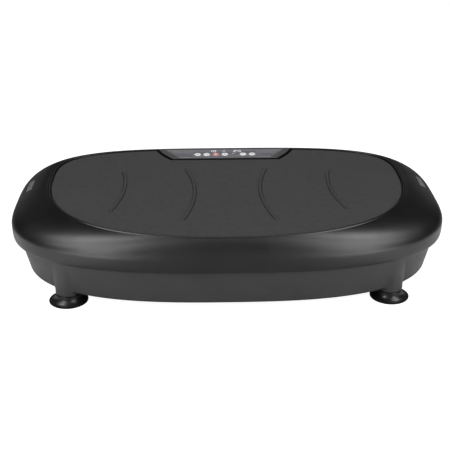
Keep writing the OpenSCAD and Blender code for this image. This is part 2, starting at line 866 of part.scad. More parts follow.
module rod_bearing(side) {
    color(steel_col) {
        spin_x(side * rod_x, journal_y(side), crank_z)
            race(16.5, rod_od, 12, rod_circle, rod_ball);
        ball_ring(side * rod_x, journal_y(side), crank_z, rod_circle, rod_ball, 14);
    }
}

// Connecting rod: big end round the eccentric's bearing, eye round the soft bush
module rod(side) {
    x0 = side * rod_x - rod_t / 2;
    y = journal_y(side);
    color([0.36, 0.38, 0.40]) difference() {
        union() {
            rod_along_x(x0, x0 + rod_t, y, crank_z, rod_od + 4.2);
            rod_along_x(x0, x0 + rod_t, y, rod_pin_z, rod_eye_r + bush_t + 3);
            box([x0, y - 10, crank_z + 16], [x0 + rod_t, y + 10, rod_pin_z - 8]);
        }
        rod_along_x(x0 - 1, x0 + rod_t + 1, y, crank_z, rod_od);
        rod_along_x(x0 - 1, x0 + rod_t + 1, y, rod_pin_z, rod_eye_r + bush_t);
    }
}

module rod_bush(side) {
    x0 = side * rod_x - rod_t / 2;
    y = journal_y(side);
    color(rubber_col) difference() {
        rod_along_x(x0, x0 + rod_t, y, rod_pin_z, rod_eye_r + bush_t);
        rod_along_x(x0 - 1, x0 + rod_t + 1, y, rod_pin_z, rod_eye_r);
    }
}

// ---------------------------------------------------------------- electrics

pcb_z = chassis_top + 6;
module power_board() {
    color(board_col) difference() {
        union() {
            translate([-164, 90, pcb_z]) plate(78, 74, 1.6, 3);
            for (x = [-197, -131], y = [59, 121]) translate([x, y, chassis_top])
                cylinder(r = 3, h = 6);
        }
        for (x = [-197, -131], y = [59, 121]) translate([x, y, chassis_top + 1])
            cylinder(r = 1.5, h = 10);
    }
}

module board_parts() {
    z = pcb_z + 1.6;
    color([0.25, 0.26, 0.30]) {
        difference() {
            box([-196, 66, z], [-180, 114, z + 30]);
            for (y = [70 : 6 : 108]) box([-194, y, z + 6], [-179, y + 3, z + 31]);
        }
        for (y = [72, 92, 112]) translate([-168, y, z]) cylinder(r = 7, h = 26);
        box([-158, 64, z], [-138, 84, z + 18]);
        box([-156, 90, z], [-144, 104, z + 14]);
        box([-136, 92, z], [-128, 114, z + 9]);
    }
}

// Two-pin mains inlet with a flange on the pocket's floor
module power_inlet() {
    z = pocket_z;
    color([0.05, 0.05, 0.055]) difference() {
        union() {
            box([inlet_x - 13.8, pocket_y - 18, z - 10.3], [inlet_x + 13.8, pocket_y + 2, z + 10.3]);
            box([inlet_x - 16, pocket_y, z - 13], [inlet_x + 16, pocket_y + 2, z + 13]);
        }
        for (e = [-4.4, 4.4])
            rod_along_y(pocket_y - 13, pocket_y + 3, inlet_x + e, z, 4.6);
        box([inlet_x - 4.4, pocket_y - 13, z - 4.6], [inlet_x + 4.4, pocket_y + 3, z + 4.6]);
    }
    color(zinc_col) for (e = [-4.4, 4.4])
        rod_along_y(pocket_y - 13, pocket_y - 1, inlet_x + e, z, 1.2);
}

rocker_y = pocket_y - 2;
module switch_housing() {
    z = pocket_z;
    color([0.05, 0.05, 0.055]) difference() {
        union() {
            box([switch_x - 7.8, pocket_y - 16, z - 11.3], [switch_x + 7.8, pocket_y + 2, z + 11.3]);
            box([switch_x - 9.5, pocket_y, z - 13], [switch_x + 9.5, pocket_y + 2, z + 13]);
        }
        box([switch_x - 6.2, pocket_y - 12, z - 9.8], [switch_x + 6.2, pocket_y + 3, z + 9.8]);
        rod_along_x(switch_x - 7, switch_x + 7, rocker_y, z, 1.25);
    }
}

module switch_rocker() {
    color([0.08, 0.08, 0.08]) translate([switch_x, rocker_y, pocket_z])
        rotate([rocker_tilt, 0, 0]) {
            rotate([0, 90, 0]) linear_extrude(12, center = true) intersection() {
                circle(9.5, $fn = 64);
                polygon([[-9.4, -3], [-9.4, 5.2], [0, 3.6], [9.4, 5.2], [9.4, -3],
                         [4, -7], [-4, -7]]);
            }
            rod_along_x(-6.9, 6.9, 0, 0, 1.2);
        }
}

module wiring() {
    color([0.08, 0.08, 0.08]) {
        cable([[inlet_x, pocket_y - 21, 44], [inlet_x, 130, 32], [76, 112, 32],
               [76, -62, 32], [-168, -62, 32], [-168, 44, 32], [-168, 50, 36]], 3);
        cable([[-124, 62, pcb_z + 5], [-108, 48, 44], [-94, 47.5, 54]], 2.2);
        cable([[-132, 118, pcb_z + 5], [-110, 140, 50], [-60, 148, 70],
               [-60, 148, deck_bot - 4]], 2.2);
    }
}

// ---------------------------------------------------------------- assembly

top_cover();
mat();
console_housing();
console_lens();
display_board();
display_modules();
ir_window();
key_switches();
key(3, key_col);  // key_power
key(0, key_col);  // key_start
key(-1, [0.80, 0.45, 0.43]);  // key_stop
key(-2, key_col);  // key_mode
key(-3, key_col);  // key_slower
key(2, key_col);  // key_faster
platform_plate();
platform_ribs();
pivot_hanger(-1);  // pivot_hanger_front
pivot_hanger(1);  // pivot_hanger_rear
pivot_bushes();
rod_bracket(-1);  // rod_bracket_left
rod_bracket(1);  // rod_bracket_right
rod_pins();
platform_screws();
base_shell();
chassis_plate();
pivot_pedestal(-1);  // pivot_pedestal_front
pivot_pedestal(1);  // pivot_pedestal_rear
pivot_pins();
pillow_block(-1);  // pillow_block_left
pillow_block(1);  // pillow_block_right
main_bearing_outers();
motor_can();
motor_end_bells();
motor_magnets();
motor_brushes();
motor_bracket();
drive_belt();
power_board();
board_parts();
power_inlet();
switch_housing();
switch_rocker();
suction_cups();
foot_screws();
chassis_screws();
bracket_bolts();
wiring();
crankshaft();
color(zinc_col)  // crank_pulley
    pulley(0, crank_z, big_pulley_r, shaft_r);
bearing_inners();
motor_shaft();
motor_armature();
color(zinc_col)  // motor_pulley
    pulley(motor_y, motor_z, small_pulley_r, motor_shaft_r);
rod(-1);  // rod_left
rod(1);  // rod_right
rod_bearing(-1);  // rod_bearing_left
rod_bearing(1);  // rod_bearing_right
rod_bush(-1);  // rod_bush_left
rod_bush(1);  // rod_bush_right
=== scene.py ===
"""Vibration plate: smooth shells, console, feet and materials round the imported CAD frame."""

import json
import math

import bmesh
import bpy
import numpy as np
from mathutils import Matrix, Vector
from mathutils.geometry import delaunay_2d_cdt


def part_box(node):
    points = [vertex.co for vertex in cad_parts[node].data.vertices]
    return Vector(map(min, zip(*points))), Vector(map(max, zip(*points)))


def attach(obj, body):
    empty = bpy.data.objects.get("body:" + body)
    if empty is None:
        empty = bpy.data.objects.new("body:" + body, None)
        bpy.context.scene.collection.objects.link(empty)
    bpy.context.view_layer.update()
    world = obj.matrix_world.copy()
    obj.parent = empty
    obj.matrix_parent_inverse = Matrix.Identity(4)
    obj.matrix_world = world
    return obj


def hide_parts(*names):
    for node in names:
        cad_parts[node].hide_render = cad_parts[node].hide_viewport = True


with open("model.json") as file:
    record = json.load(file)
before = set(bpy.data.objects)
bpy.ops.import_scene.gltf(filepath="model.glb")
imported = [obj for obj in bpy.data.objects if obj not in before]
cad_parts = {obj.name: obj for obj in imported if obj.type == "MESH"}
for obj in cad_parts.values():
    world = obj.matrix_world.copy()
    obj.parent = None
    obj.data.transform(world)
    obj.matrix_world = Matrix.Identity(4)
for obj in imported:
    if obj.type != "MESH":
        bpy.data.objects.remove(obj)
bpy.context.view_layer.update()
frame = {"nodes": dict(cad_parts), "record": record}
nodes = frame["nodes"]
record = frame["record"]
MM = 0.001

# ------------------------------------------------------------------ sizes

cover_lo, cover_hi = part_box("top_cover")
mat_lo, mat_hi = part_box("mat")
housing_lo, housing_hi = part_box("console_housing")
lens_lo, lens_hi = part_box("console_lens")
inlet_lo, inlet_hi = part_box("power_inlet")
switch_lo, switch_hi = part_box("switch_housing")

# Wall thickness of the cover and the tub
WALL = 3 * MM

# Cover: half width, half depth, top of the rim, foot of the skirt, and the waist where the
# shoulder meets the skirt
COVER_A, COVER_B = cover_hi.x, cover_hi.y
RIM_Z, SKIRT_Z = cover_hi.z, cover_lo.z
WAIST_Z = RIM_Z - 34 * MM
# Deck that the mat lies on
DECK_TOP = mat_lo.z
DECK_BOT = DECK_TOP - 3.5 * MM
# Width of the lip round the mat, and of the gap between them
LIP_W = 8 * MM
GAP = 2.0 * MM
# Across the lip: share of its width from the gap, drop below the rim in mm at the front,
# where a fine groove runs outside the lip, and drop at the ends and rear
LIP_PROFILE = ((0.0, 1.2, 1.2), (0.01, 0.8, 0.8), (0.04, 0.4, 0.4), (0.09, 0.15, 0.15),
               (0.16, 0.03, 0.05), (0.24, 0.0, 0.02), (0.50, 0.0, 0.12), (0.58, 0.06, 0.18),
               (0.64, 0.25, 0.26), (0.70, 0.7, 0.36), (0.76, 1.15, 0.48), (0.82, 1.35, 0.61),
               (0.88, 1.3, 0.73), (0.94, 1.1, 0.85))
LIP_STEP = 0.95 * MM
# Angle at which the shoulder leaves the lip at the ends and rear, and what the front adds
SHOULDER_START, FRONT_START = 17.5, 24
SHOULDER_N = 1.9

# Mat: half width, front and rear reach, height of its edge, rise to the middle, and where
# along Y it is widest
MAT_A, MAT_FRONT = mat_hi.x, -mat_lo.y
MAT_REAR = housing_hi.y
MAT_EDGE = DECK_TOP + 3 * MM
MAT_CROWN = 2.5 * MM
MAT_WIDE_Y = 42 * MM
# Raised arcs: height and half width, then for each pair the middle's distance from the
# centre line, radius, centre along Y, and first and last place along Y, in mm
RIB_H = 1.18 * MM
RIB_HALF = 2.6 * MM
RIBS = ((159, 286, 6, -87, 63), (50.5, 312, -21, -124, 70))

# Oval exponents, as in the CAD: the front half is bowed, the rear half is squarer
MAT_N = (2.4, 3.45)
COVER_N = (2.75, 3.8)
BASE_N = (2.7, 3.5)

# Console: half widths of its front and rear, how far it reaches, and how much its sides
# bow out; heights of the overlay, half width of its front, and radius of the keys
CONSOLE_FRONT_X, CONSOLE_REAR_X = 87 * MM, 115 * MM
CONSOLE_FRONT_Y = housing_lo.y
CONSOLE_REAR_Y = MAT_REAR + 8 * MM
CONSOLE_BOW = 4 * MM
LENS_TOP, LENS_BOT = lens_hi.z, lens_lo.z
LENS_FRONT_X = 76 * MM
KEY_R = 5.5 * MM

# Tub: heights, half width and half depth at its foot and head, how much less deep its rear
# half is, and the radius of its bottom corner
BASE_BOT, BASE_TOP = 19 * MM, 84 * MM
BASE_FOOT = (308.5 * MM, 180 * MM)
BASE_HEAD = (325 * MM, 184.5 * MM)
BASE_REAR_TRIM = 3 * MM
BASE_CORNER = 5 * MM
# Pocket for the mains inlet and its switch
POCKET_X = (inlet_lo.x - 2 * MM, switch_hi.x + 7.5 * MM)
POCKET_Z = (inlet_lo.z - 3 * MM, inlet_hi.z + 3 * MM)
POCKET_Y = inlet_hi.y - 2 * MM
# Legs: radius, foot, how high they run up inside the tub's wall, and the radius and top of
# the piece of wall that is made with each
LEG_R = 18.5 * MM
LEG_FOOT, LEG_TOP = 14 * MM, 72 * MM
BOSS_R, BOSS_TOP = 36 * MM, 78 * MM

# ------------------------------------------------------------------ outlines


def turns(first, last, count):
    """Sine and cosine of evenly spaced angles from first to last, in degrees."""
    angles = np.radians(np.linspace(first, last, count))
    return zip(np.sin(angles), np.cos(angles))


def oval(a, front, rear, n, z, count=360, wide_y=0.0):
    """Points of an oval whose front and rear halves meet at wide_y, evenly spaced along it."""
    t = np.linspace(0, 2 * np.pi, 8 * count, endpoint=False)
    c, s = np.cos(t), np.sin(t)
    b = np.where(s < 0, front + wide_y, rear - wide_y)
    e = np.where(s < 0, n[0], n[1])
    k = (np.abs(c) ** e + np.abs(s) ** e) ** (-1 / e)
    p = np.stack([a * c * k, wide_y + b * s * k], 1)
    step = np.linalg.norm(np.roll(p, -1, 0) - p, axis=1)
    along = np.concatenate([[0], np.cumsum(step)])
    want = np.linspace(0, along[-1], count, endpoint=False)
    closed = np.vstack([p, p[:1]])
    xy = np.stack([np.interp(want, along, closed[:, i]) for i in (0, 1)], 1)
    return np.column_stack([xy, np.full(count, z)])


def mat_oval(grow, z, count=360):
    return oval(MAT_A + grow, MAT_FRONT + grow, MAT_REAR + grow, MAT_N, z, count, MAT_WIDE_Y)


def cover_oval(w, inset, z):
    """The cover's outer surface, w from 0 at the lip to 1 at the waist."""
    v = 1 - w
    return oval(
        (MAT_A + LIP_W) * v + COVER_A * w - inset,
        (MAT_FRONT + LIP_W - MM) * v + COVER_B * w - inset,
        (MAT_REAR + LIP_W - MM) * v + COVER_B * w - inset,
        (MAT_N[0] * v + COVER_N[0] * w, MAT_N[1] * v + COVER_N[1] * w),
        z, wide_y=MAT_WIDE_Y * v)


def base_radii(z):
    """Half width and half depth of the tub at height z."""
    share = (z - BASE_BOT) / (BASE_TOP - BASE_BOT)
    return [foot + (head - foot) * share for foot, head in zip(BASE_FOOT, BASE_HEAD)]


def base_oval(inset, z):
    a, b = base_radii(z)
    return oval(a - inset, b - inset, b - inset - BASE_REAR_TRIM, BASE_N, z)


def mat_reach():
    """Angles round the middle of the mat, in order, and its edge's distance at each."""
    x, y, _ = mat_oval(0, 0, 2000).T
    angle = np.arctan2(y, x)
    order = np.argsort(angle)
    return angle[order], np.hypot(x, y)[order]


MAT_ANGLES, MAT_REACH = mat_reach()


def mat_share(x, y):
    """0 at the middle of the mat, 1 on its edge."""
    edge = np.interp(np.arctan2(y, x), MAT_ANGLES, MAT_REACH, period=2 * np.pi)
    return np.hypot(x, y) / edge


def console_side(grow):
    """The right side of the console, from its front corner back."""
    u = np.linspace(0, 1, 60)
    x = CONSOLE_FRONT_X + (CONSOLE_REAR_X - CONSOLE_FRONT_X) * u
    x = x + CONSOLE_BOW * np.sin(np.pi * u) + grow
    y = CONSOLE_FRONT_Y + (CONSOLE_REAR_Y - CONSOLE_FRONT_Y) * u - grow * (1 - u)
    return np.stack([x, y], 1)


def cut_side(grow):
    """The console's right side up to where it meets the mat's rear edge."""
    side = console_side(grow)
    return side[mat_share(side[:, 0], side[:, 1]) < 1]


def every(points, step):
    """Every step-th point, and always the last."""
    return points[np.unique(np.append(np.arange(0, len(points), step), len(points) - 1))]


def mirrored(side):
    """The same side of the console on the left."""
    return side * (-1, 1)


def round_corners(points, radius, steps=6, sharp=20):
    """Replaces each corner that turns by more than sharp degrees with a curve."""
    out = []
    count = len(points)
    for i, p in enumerate(points):
        before = points[i - 1] - p
        after = points[(i + 1) % count] - p
        u, v = before / np.linalg.norm(before), after / np.linalg.norm(after)
        turn = 180 - math.degrees(math.acos(np.clip(u @ v, -1, 1)))
        if turn < sharp:
            out.append(p)
            continue
        reach = min(radius, 0.45 * np.linalg.norm(before), 0.45 * np.linalg.norm(after))
        for t in np.linspace(0, 1, steps + 1):
            out.append(p + u * reach * (1 - t) ** 2 + v * reach * t ** 2)
    return np.array(out)


def resample(points, spacing):
    """Splits long edges of a closed outline, keeping its corners."""
    out = []
    for i, p in enumerate(points):
        q = points[(i + 1) % len(points)]
        parts = max(1, int(np.ceil(np.linalg.norm(q - p) / spacing)))
        out += [p + (q - p) * k / parts for k in range(parts)]
    return np.array(out)


def inset_outline(points, d):
    """Moves a closed anticlockwise outline inwards by d."""
    before = points - np.roll(points, 1, 0)
    after = np.roll(points, -1, 0) - points
    n1 = np.stack([-before[:, 1], before[:, 0]], 1)
    n2 = np.stack([-after[:, 1], after[:, 0]], 1)
    n1 /= np.linalg.norm(n1, axis=1, keepdims=True)
    n2 /= np.linalg.norm(n2, axis=1, keepdims=True)
    m = n1 + n2
    m /= np.linalg.norm(m, axis=1, keepdims=True)
    scale = np.clip(1 / np.maximum(np.sum(m * n1, 1), 0.5), 1, 2)
    return points + m * (d * scale)[:, None]


def circle(x, y, r, count=64, clockwise=False):
    t = np.linspace(0, 2 * np.pi, count, endpoint=False)
    t = -t if clockwise else t
    return np.stack([x + r * np.cos(t), y + r * np.sin(t)], 1)


def rectangle(w, h, x=0.0, y=0.0):
    """A shape of one outline."""
    corners = ((-w, -h), (w, -h), (w, h), (-w, h))
    return (np.array([(x + cx / 2, y + cy / 2) for cx, cy in corners]),)


def ring_shape(r, width):
    """A shape of an outline and a hole."""
    return circle(0, 0, r, 48), circle(0, 0, r - width, 48, True)


def plan_centre(node):
    """Centre of a CAD node's box, seen from above."""
    low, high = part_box(node)
    return (low.x + high.x) / 2, (low.y + high.y) / 2

# ------------------------------------------------------------------ meshes


def add_object(name, data):
    obj = bpy.data.objects.new(name, data)
    bpy.context.scene.collection.objects.link(obj)
    return obj


def finish_mesh(obj, smooth_angle=32):
    """Outward normals, merged doubles and smooth shading with sharp creases."""
    bm = bmesh.new()
    bm.from_mesh(obj.data)
    bmesh.ops.remove_doubles(bm, verts=bm.verts, dist=1e-7)
    bmesh.ops.recalc_face_normals(bm, faces=bm.faces)
    for face in bm.faces:
        face.smooth = True
    bm.to_mesh(obj.data)
    bm.free()
    obj.data.set_sharp_from_angle(angle=math.radians(smooth_angle))


def make_object(name, verts, faces, smooth_angle=32):
    mesh = bpy.data.meshes.new(name)
    mesh.from_pydata([tuple(map(float, v)) for v in verts], [],
                     [tuple(map(int, f)) for f in faces])
    obj = add_object(name, mesh)
    finish_mesh(obj, smooth_angle)
    return obj


def loft_faces(ring_count, n):
    """Quads between each ring of n points and the next."""
    faces = []
    for a in range(0, (ring_count - 1) * n, n):
        for j in range(n):
            k = (j + 1) % n
            faces.append((a + j, a + k, a + n + k, a + n + j))
    return faces


def loft(name, rings):
    """Skins equal rings and caps both ends."""
    n = len(rings[0])
    faces = loft_faces(len(rings), n)
    faces.append(tuple(range(n - 1, -1, -1)))
    faces.append(tuple((len(rings) - 1) * n + j for j in range(n)))
    return make_object(name, np.vstack(rings), faces, 40)


def revolve(name, profile, centre, segments):
    """Turns a closed profile of (radius, z) about a vertical axis through centre."""
    verts, rings = [], []
    for r, z in profile:
        count = segments if r > 1e-9 else 1
        rings.append([len(verts) + j % count for j in range(segments)])
        verts += [(centre[0] + r * cosine, centre[1] + r * sine, z)
                  for sine, cosine in turns(0, 360 - 360 / segments, count)]
    faces = []
    for i, low in enumerate(rings):
        high = rings[(i + 1) % len(rings)]
        for j in range(segments):
            k = (j + 1) % segments
            corners = list(dict.fromkeys((low[j], low[k], high[k], high[j])))
            if len(corners) > 2:
                faces.append(corners)
    return make_object(name, verts, faces)


def inside_polygon(points, polygon):
    x, y = points[:, 0], points[:, 1]
    hit = np.zeros(len(points), bool)
    x0, y0 = polygon[-1]
    for x1, y1 in polygon:
        crosses = (y0 > y) != (y1 > y)
        at = x0 + (y - y0) * (x1 - x0) / np.where(y1 == y0, 1e-12, y1 - y0)
        hit ^= crosses & (x < at)
        x0, y0 = x1, y1
    return hit


def regions(triangles, walls):
    """Groups of triangles that meet across sides that aren't walls, each with whether it
    reaches the outside of the net."""
    beside = {}
    for i, tri in enumerate(triangles):
        for j in range(3):
            beside.setdefault(frozenset((tri[j], tri[j - 1])), []).append(i)
    seen = set()
    for first in range(len(triangles)):
        if first in seen:
            continue
        seen.add(first)
        region, outside = [first], False
        for i in region:
            for j in range(3):
                side = frozenset((triangles[i][j], triangles[i][j - 1]))
                if side in walls:
                    continue
                outside |= len(beside[side]) == 1
                new = [k for k in beside[side] if k not in seen]
                seen.update(new)
                region += new
        yield region, outside


def triangulate(loops, extra=()):
    """Fills the first loop less the others; returns points and triangles."""
    points = [Vector(p) for loop in loops for p in loop] + [Vector(p) for p in extra]
    edges = []
    start = 0
    for loop in loops:
        count = len(loop)
        edges += [(start + i, start + (i + 1) % count) for i in range(count)]
        start += count
    out, sides, tris, _, sources, _ = delaunay_2d_cdt(points, edges, [], 0, 1e-9)
    p = np.array([tuple(v) for v in out])
    t = np.array(tris)
    u, v = p[t[:, 1]] - p[t[:, 0]], p[t[:, 2]] - p[t[:, 0]]
    area = np.abs(u[:, 0] * v[:, 1] - u[:, 1] * v[:, 0])
    walls = {frozenset(side) for side, source in zip(sides, sources) if source}
    keep = np.zeros(len(t), bool)
    for region, outside in regions(tris, walls):
        largest = p[t[max(region, key=lambda i: area[i])]].mean(0)[None]
        filled, *cut = [inside_polygon(largest, np.array(loop))[0] for loop in loops]
        keep[region] = filled and not any(cut) and not outside
    return p, t[keep]


def slab(name, outer, z0, z1, bevel, holes=(), hole_bevel=None):
    """A flat plate with rounded top edges: outer is anticlockwise, each hole clockwise."""
    verts, faces = [], []
    top_loops, bottom_loops = [], []
    for i, loop in enumerate([outer, *holes]):
        size = bevel if i == 0 or hole_bevel is None else hole_bevel
        start = len(verts)
        rings = [np.column_stack([loop, np.full(len(loop), z0)])]
        for sine, cosine in turns(0, 90, 5):
            shape = inset_outline(loop, size * (1 - cosine))
            rings.append(np.column_stack([shape, np.full(len(loop), z1 - size * (1 - sine))]))
        verts += [tuple(v) for ring in rings for v in ring]
        faces += [[start + k for k in f] for f in loft_faces(len(rings), len(loop))]
        bottom_loops.append(rings[0][:, :2])
        top_loops.append(rings[-1][:, :2])
    for loops, z in ((top_loops, z1), (bottom_loops, z0)):
        p, t = triangulate(loops)
        start = len(verts)
        verts += [(x, y, z) for x, y in p]
        faces += [[start + k for k in f] for f in t]
    return make_object(name, verts, faces)


def join(name, objects):
    """Joins loose pieces of one material and body into one object."""
    verts, faces = [], []
    for o in objects:
        start = len(verts)
        verts += [tuple(v.co) for v in o.data.vertices]
        faces += [[start + k for k in p.vertices] for p in o.data.polygons]
        bpy.data.objects.remove(o)
    return make_object(name, verts, faces)


def boolean(obj, cutter):
    """Cuts one closed mesh out of another and deletes the cutter."""
    modifier = obj.modifiers.new("cut", "BOOLEAN")
    modifier.object = cutter
    modifier.operation = "DIFFERENCE"
    modifier.solver = "EXACT"
    graph = bpy.context.evaluated_depsgraph_get()
    mesh = bpy.data.meshes.new_from_object(obj.evaluated_get(graph))
    obj.modifiers.clear()
    obj.data = mesh
    bpy.data.objects.remove(cutter)
    finish_mesh(obj)
    return obj


def block(name, lo, hi, bevel=0.0):
    """A box with all its edges rounded; used for cutters and small fittings."""
    bm = bmesh.new()
    bmesh.ops.create_cube(bm, size=1)
    centre, size = (Vector(lo) + Vector(hi)) / 2, Vector(hi) - Vector(lo)
    for v in bm.verts:
        v.co = v.co * size + centre
    if bevel:
        bmesh.ops.bevel(bm, geom=bm.edges[:], offset=bevel, segments=4, profile=0.5,
                        affect="EDGES")
    mesh = bpy.data.meshes.new(name)
    bm.to_mesh(mesh)
    bm.free()
    obj = add_object(name, mesh)
    finish_mesh(obj)
    return obj

# ------------------------------------------------------------------ materials


class Nodes:
    """Small helper for building a procedural material."""

    def __init__(self, name):
        self.material = bpy.data.materials.new(name)
        self.material.use_nodes = True
        self.tree = self.material.node_tree
        self.coords = self.add("ShaderNodeTexCoord").outputs["Object"]

    def feed(self, socket, value):
        """Gives a socket a number, a colour or another node's output."""
        if isinstance(value, (int, float)):
            socket.default_value = value
        elif isinstance(value, tuple):
            socket.default_value = (*value, 1)
        else:
            self.tree.links.new(value, socket)

    def add(self, kind, inputs=None, **settings):
        node = self.tree.nodes.new(kind)
        for key, value in settings.items():
            setattr(node, key, value)
        for key, value in (inputs or {}).items():
            self.feed(node.inputs[key], value)
        return node

    def axes(self):
        """Outputs for the place along X, Y and Z."""
        return self.add("ShaderNodeSeparateXYZ", {0: self.coords}).outputs

    def noise(self, scale, detail=3.0, roughness=0.5, stretch=None):
        source = self.coords
        if stretch:
            mapping = self.add("ShaderNodeMapping", {"Vector": source})
            mapping.inputs["Scale"].default_value = stretch
            source = mapping.outputs["Vector"]
        return self.add("ShaderNodeTexNoise", {
            "Vector": source, "Scale": scale, "Detail": detail,
            "Roughness": roughness}).outputs["Fac"]

    def cells(self, scale):
        return self.add("ShaderNodeTexVoronoi", {
            "Vector": self.coords, "Scale": scale}).outputs["Distance"]

    def remap(self, source, low, high, to_low=0.0, to_high=1.0):
        return self.add("ShaderNodeMapRange", {
            "Value": source, "From Min": low, "From Max": high,
            "To Min": to_low, "To Max": to_high}).outputs["Result"]

    def spread(self, noise, low=0.0, high=1.0):
        """Stretches the range where most of a noise lies to low..high."""
        return self.remap(noise, 0.3, 0.7, low, high)

    def math(self, operation, *values):
        return self.add("ShaderNodeMath", dict(enumerate(values)), operation=operation).outputs[0]

    def mix(self, factor, a, b):
        return self.add("ShaderNodeMix", {"Factor": factor, 6: a, 7: b},
                        data_type="RGBA").outputs[2]

    def tones(self, noise, color, dark, light):
        """Varies a colour from one tint of it to another."""
        return self.mix(self.spread(noise), tint(color, dark), tint(color, light))

    def edges(self, low, high):
        """1 on sharp outer edges, where a finish wears first."""
        pointed = self.add("ShaderNodeNewGeometry").outputs["Pointiness"]
        return self.remap(pointed, low, high)

    def bump(self, height, distance, strength=1.0, under=None):
        node = self.add("ShaderNodeBump", {
            "Strength": strength, "Distance": distance, "Height": height})
        if under is not None:
            self.feed(node.inputs["Normal"], under)
        return node.outputs["Normal"]

    def finish(self, **values):
        """Sets inputs of the shader and returns the material."""
        shader = self.tree.nodes["Principled BSDF"]
        for key, value in values.items():
            self.feed(shader.inputs[key.replace("_", " ")], value)
        return self.material


def tint(color, factor):
    return tuple(min(1.0, c * factor) for c in color)


def moulded(name, color, shade=1.0, rough=0.45, grain=900.0, grain_depth=0.02 * MM, coat=0.0,
            dust=0.04):
    """Injection-moulded plastic: fine grain, faint flow marks, handled edges, dust."""
    m = Nodes(name)
    color = tint(color, shade)
    flow = m.noise(14.0, stretch=(1.0, 2.5, 1.0))
    specks = m.remap(m.noise(240.0, 4.0), 0.62, 0.75, 0.0, dust)
    worn = m.math("MULTIPLY", m.edges(0.52, 0.62), 0.25)
    pale = tuple(c + 0.12 for c in color) if dust else color
    return m.finish(
        Base_Color=m.mix(m.math("ADD", specks, worn), m.tones(flow, color, 0.88, 1.12), pale),
        Roughness=m.spread(m.noise(55.0, 4.0), rough - 0.05, rough + 0.06),
        Normal=m.bump(m.noise(grain, 2.0), grain_depth),
        Coat_Weight=coat, Coat_Roughness=0.12)


def cover_plastic(name, color):
    """Satin black cover with a plain silver bar printed on each end."""
    m = Nodes(name)
    x, y, _ = m.axes()
    bar = 1.0
    for value, middle, half in ((m.math("ABSOLUTE", x), 311 * MM, 4.5 * MM),
                                (y, 34 * MM, 20 * MM)):
        away = m.math("ABSOLUTE", m.math("SUBTRACT", value, middle))
        inside = m.remap(away, half - 0.3 * MM, half + 0.3 * MM, 1.0, 0.0)
        bar = m.math("MULTIPLY", bar, inside)
    stripes = m.math("SINE", m.math("MULTIPLY", y, 2 * math.pi / (4 * MM)))
    bar = m.math("MULTIPLY", bar, m.remap(stripes, -0.2, 0.2))
    specks = m.remap(m.noise(300.0, 4.0), 0.66, 0.78, 0.0, 0.03)
    dusty = m.mix(specks, m.tones(m.noise(9.0), color, 0.10, 0.13), (0.12, 0.12, 0.12))
    return m.finish(
        Base_Color=m.mix(m.math("MULTIPLY", bar, 0.55), dusty, (0.42, 0.43, 0.45)),
        Roughness=m.spread(m.noise(30.0, 4.0), 0.35, 0.41),
        Normal=m.bump(m.noise(1500.0, 2.0), 0.012 * MM),
        Specular_IOR_Level=0.6)


def mat_rubber(name, color):
    """Close-grained rubber: pebbles, mottled tone, broad paler scuffs scattered at random."""
    m = Nodes(name)
    grit = m.noise(420.0, 3.0, 0.6)
    mottle = m.remap(m.noise(95.0, 5.0, 0.65), 0.32, 0.68)
    tone = m.mix(mottle, tint(color, 0.325), tint(color, 0.435))
    tone = m.mix(m.remap(grit, 0.45, 0.75, 0.0, 0.35), tone, tint(color, 0.68))
    tone = m.mix(m.remap(m.noise(7.0, 2.0), 0.35, 0.75, 0.0, 0.15), tone, tint(color, 0.55))
    return m.finish(
        Base_Color=tone,
        Roughness=m.spread(m.noise(18.0), 0.62, 0.78),
        Normal=m.bump(grit, 0.12 * MM, 0.6, m.bump(m.cells(760.0), 0.16 * MM, 0.8)),
        Sheen_Weight=0.05, Sheen_Roughness=0.5, Specular_IOR_Level=0.3)


def console_plastic(name, color):
    """Fine-grained moulding whose raised top face is a dark satin grey; its side walls are near
    black and barely shiny, painted shade of the gap round the console.
    """
    m = Nodes(name)
    top = m.remap(m.axes()["Z"], housing_hi.z - 0.5 * MM, housing_hi.z - 0.2 * MM)
    grey = m.tones(m.noise(40.0), color, 0.42, 0.52)
    return m.finish(
        # Below the top face: near black with little shine, painted shade of the gap round the
        # console
        Base_Color=m.mix(top, (0.006, 0.006, 0.006), grey),
        Roughness=m.spread(m.noise(55.0, 4.0), 0.38, 0.48),
        Specular_IOR_Level=m.remap(top, 0.0, 1.0, 0.15, 0.5),
        Normal=m.bump(m.noise(1300.0, 2.0), 0.02 * MM))


def smooth_rubber(name, color, rough=0.28):
    """Glossy moulded rubber with faint flow lines and a little bloom."""
    m = Nodes(name)
    bloom = m.remap(m.noise(60.0, 4.0), 0.5, 0.8, 0.0, 0.25)
    return m.finish(
        Base_Color=m.mix(bloom, tint(color, 0.4), color),
        Roughness=m.spread(m.noise(45.0), rough, rough + 0.14),
        Normal=m.bump(m.noise(700.0, 2.0), 0.02 * MM))


def smoked_lens(name, color):
    """Smooth smoked overlay, with a haze of fine wiping marks."""
    m = Nodes(name)
    wipe = m.noise(160.0, 4.0, stretch=(0.4, 6.0, 1.0))
    return m.finish(
        Base_Color=m.tones(m.noise(22.0, 2.0), color, 0.80, 0.90),
        Roughness=m.remap(wipe, 0.4, 0.7, 0.16, 0.24),
        Normal=m.bump(m.noise(30.0, 2.0), 0.015 * MM, 0.5),
        Coat_Weight=0.6, Coat_Roughness=0.08)


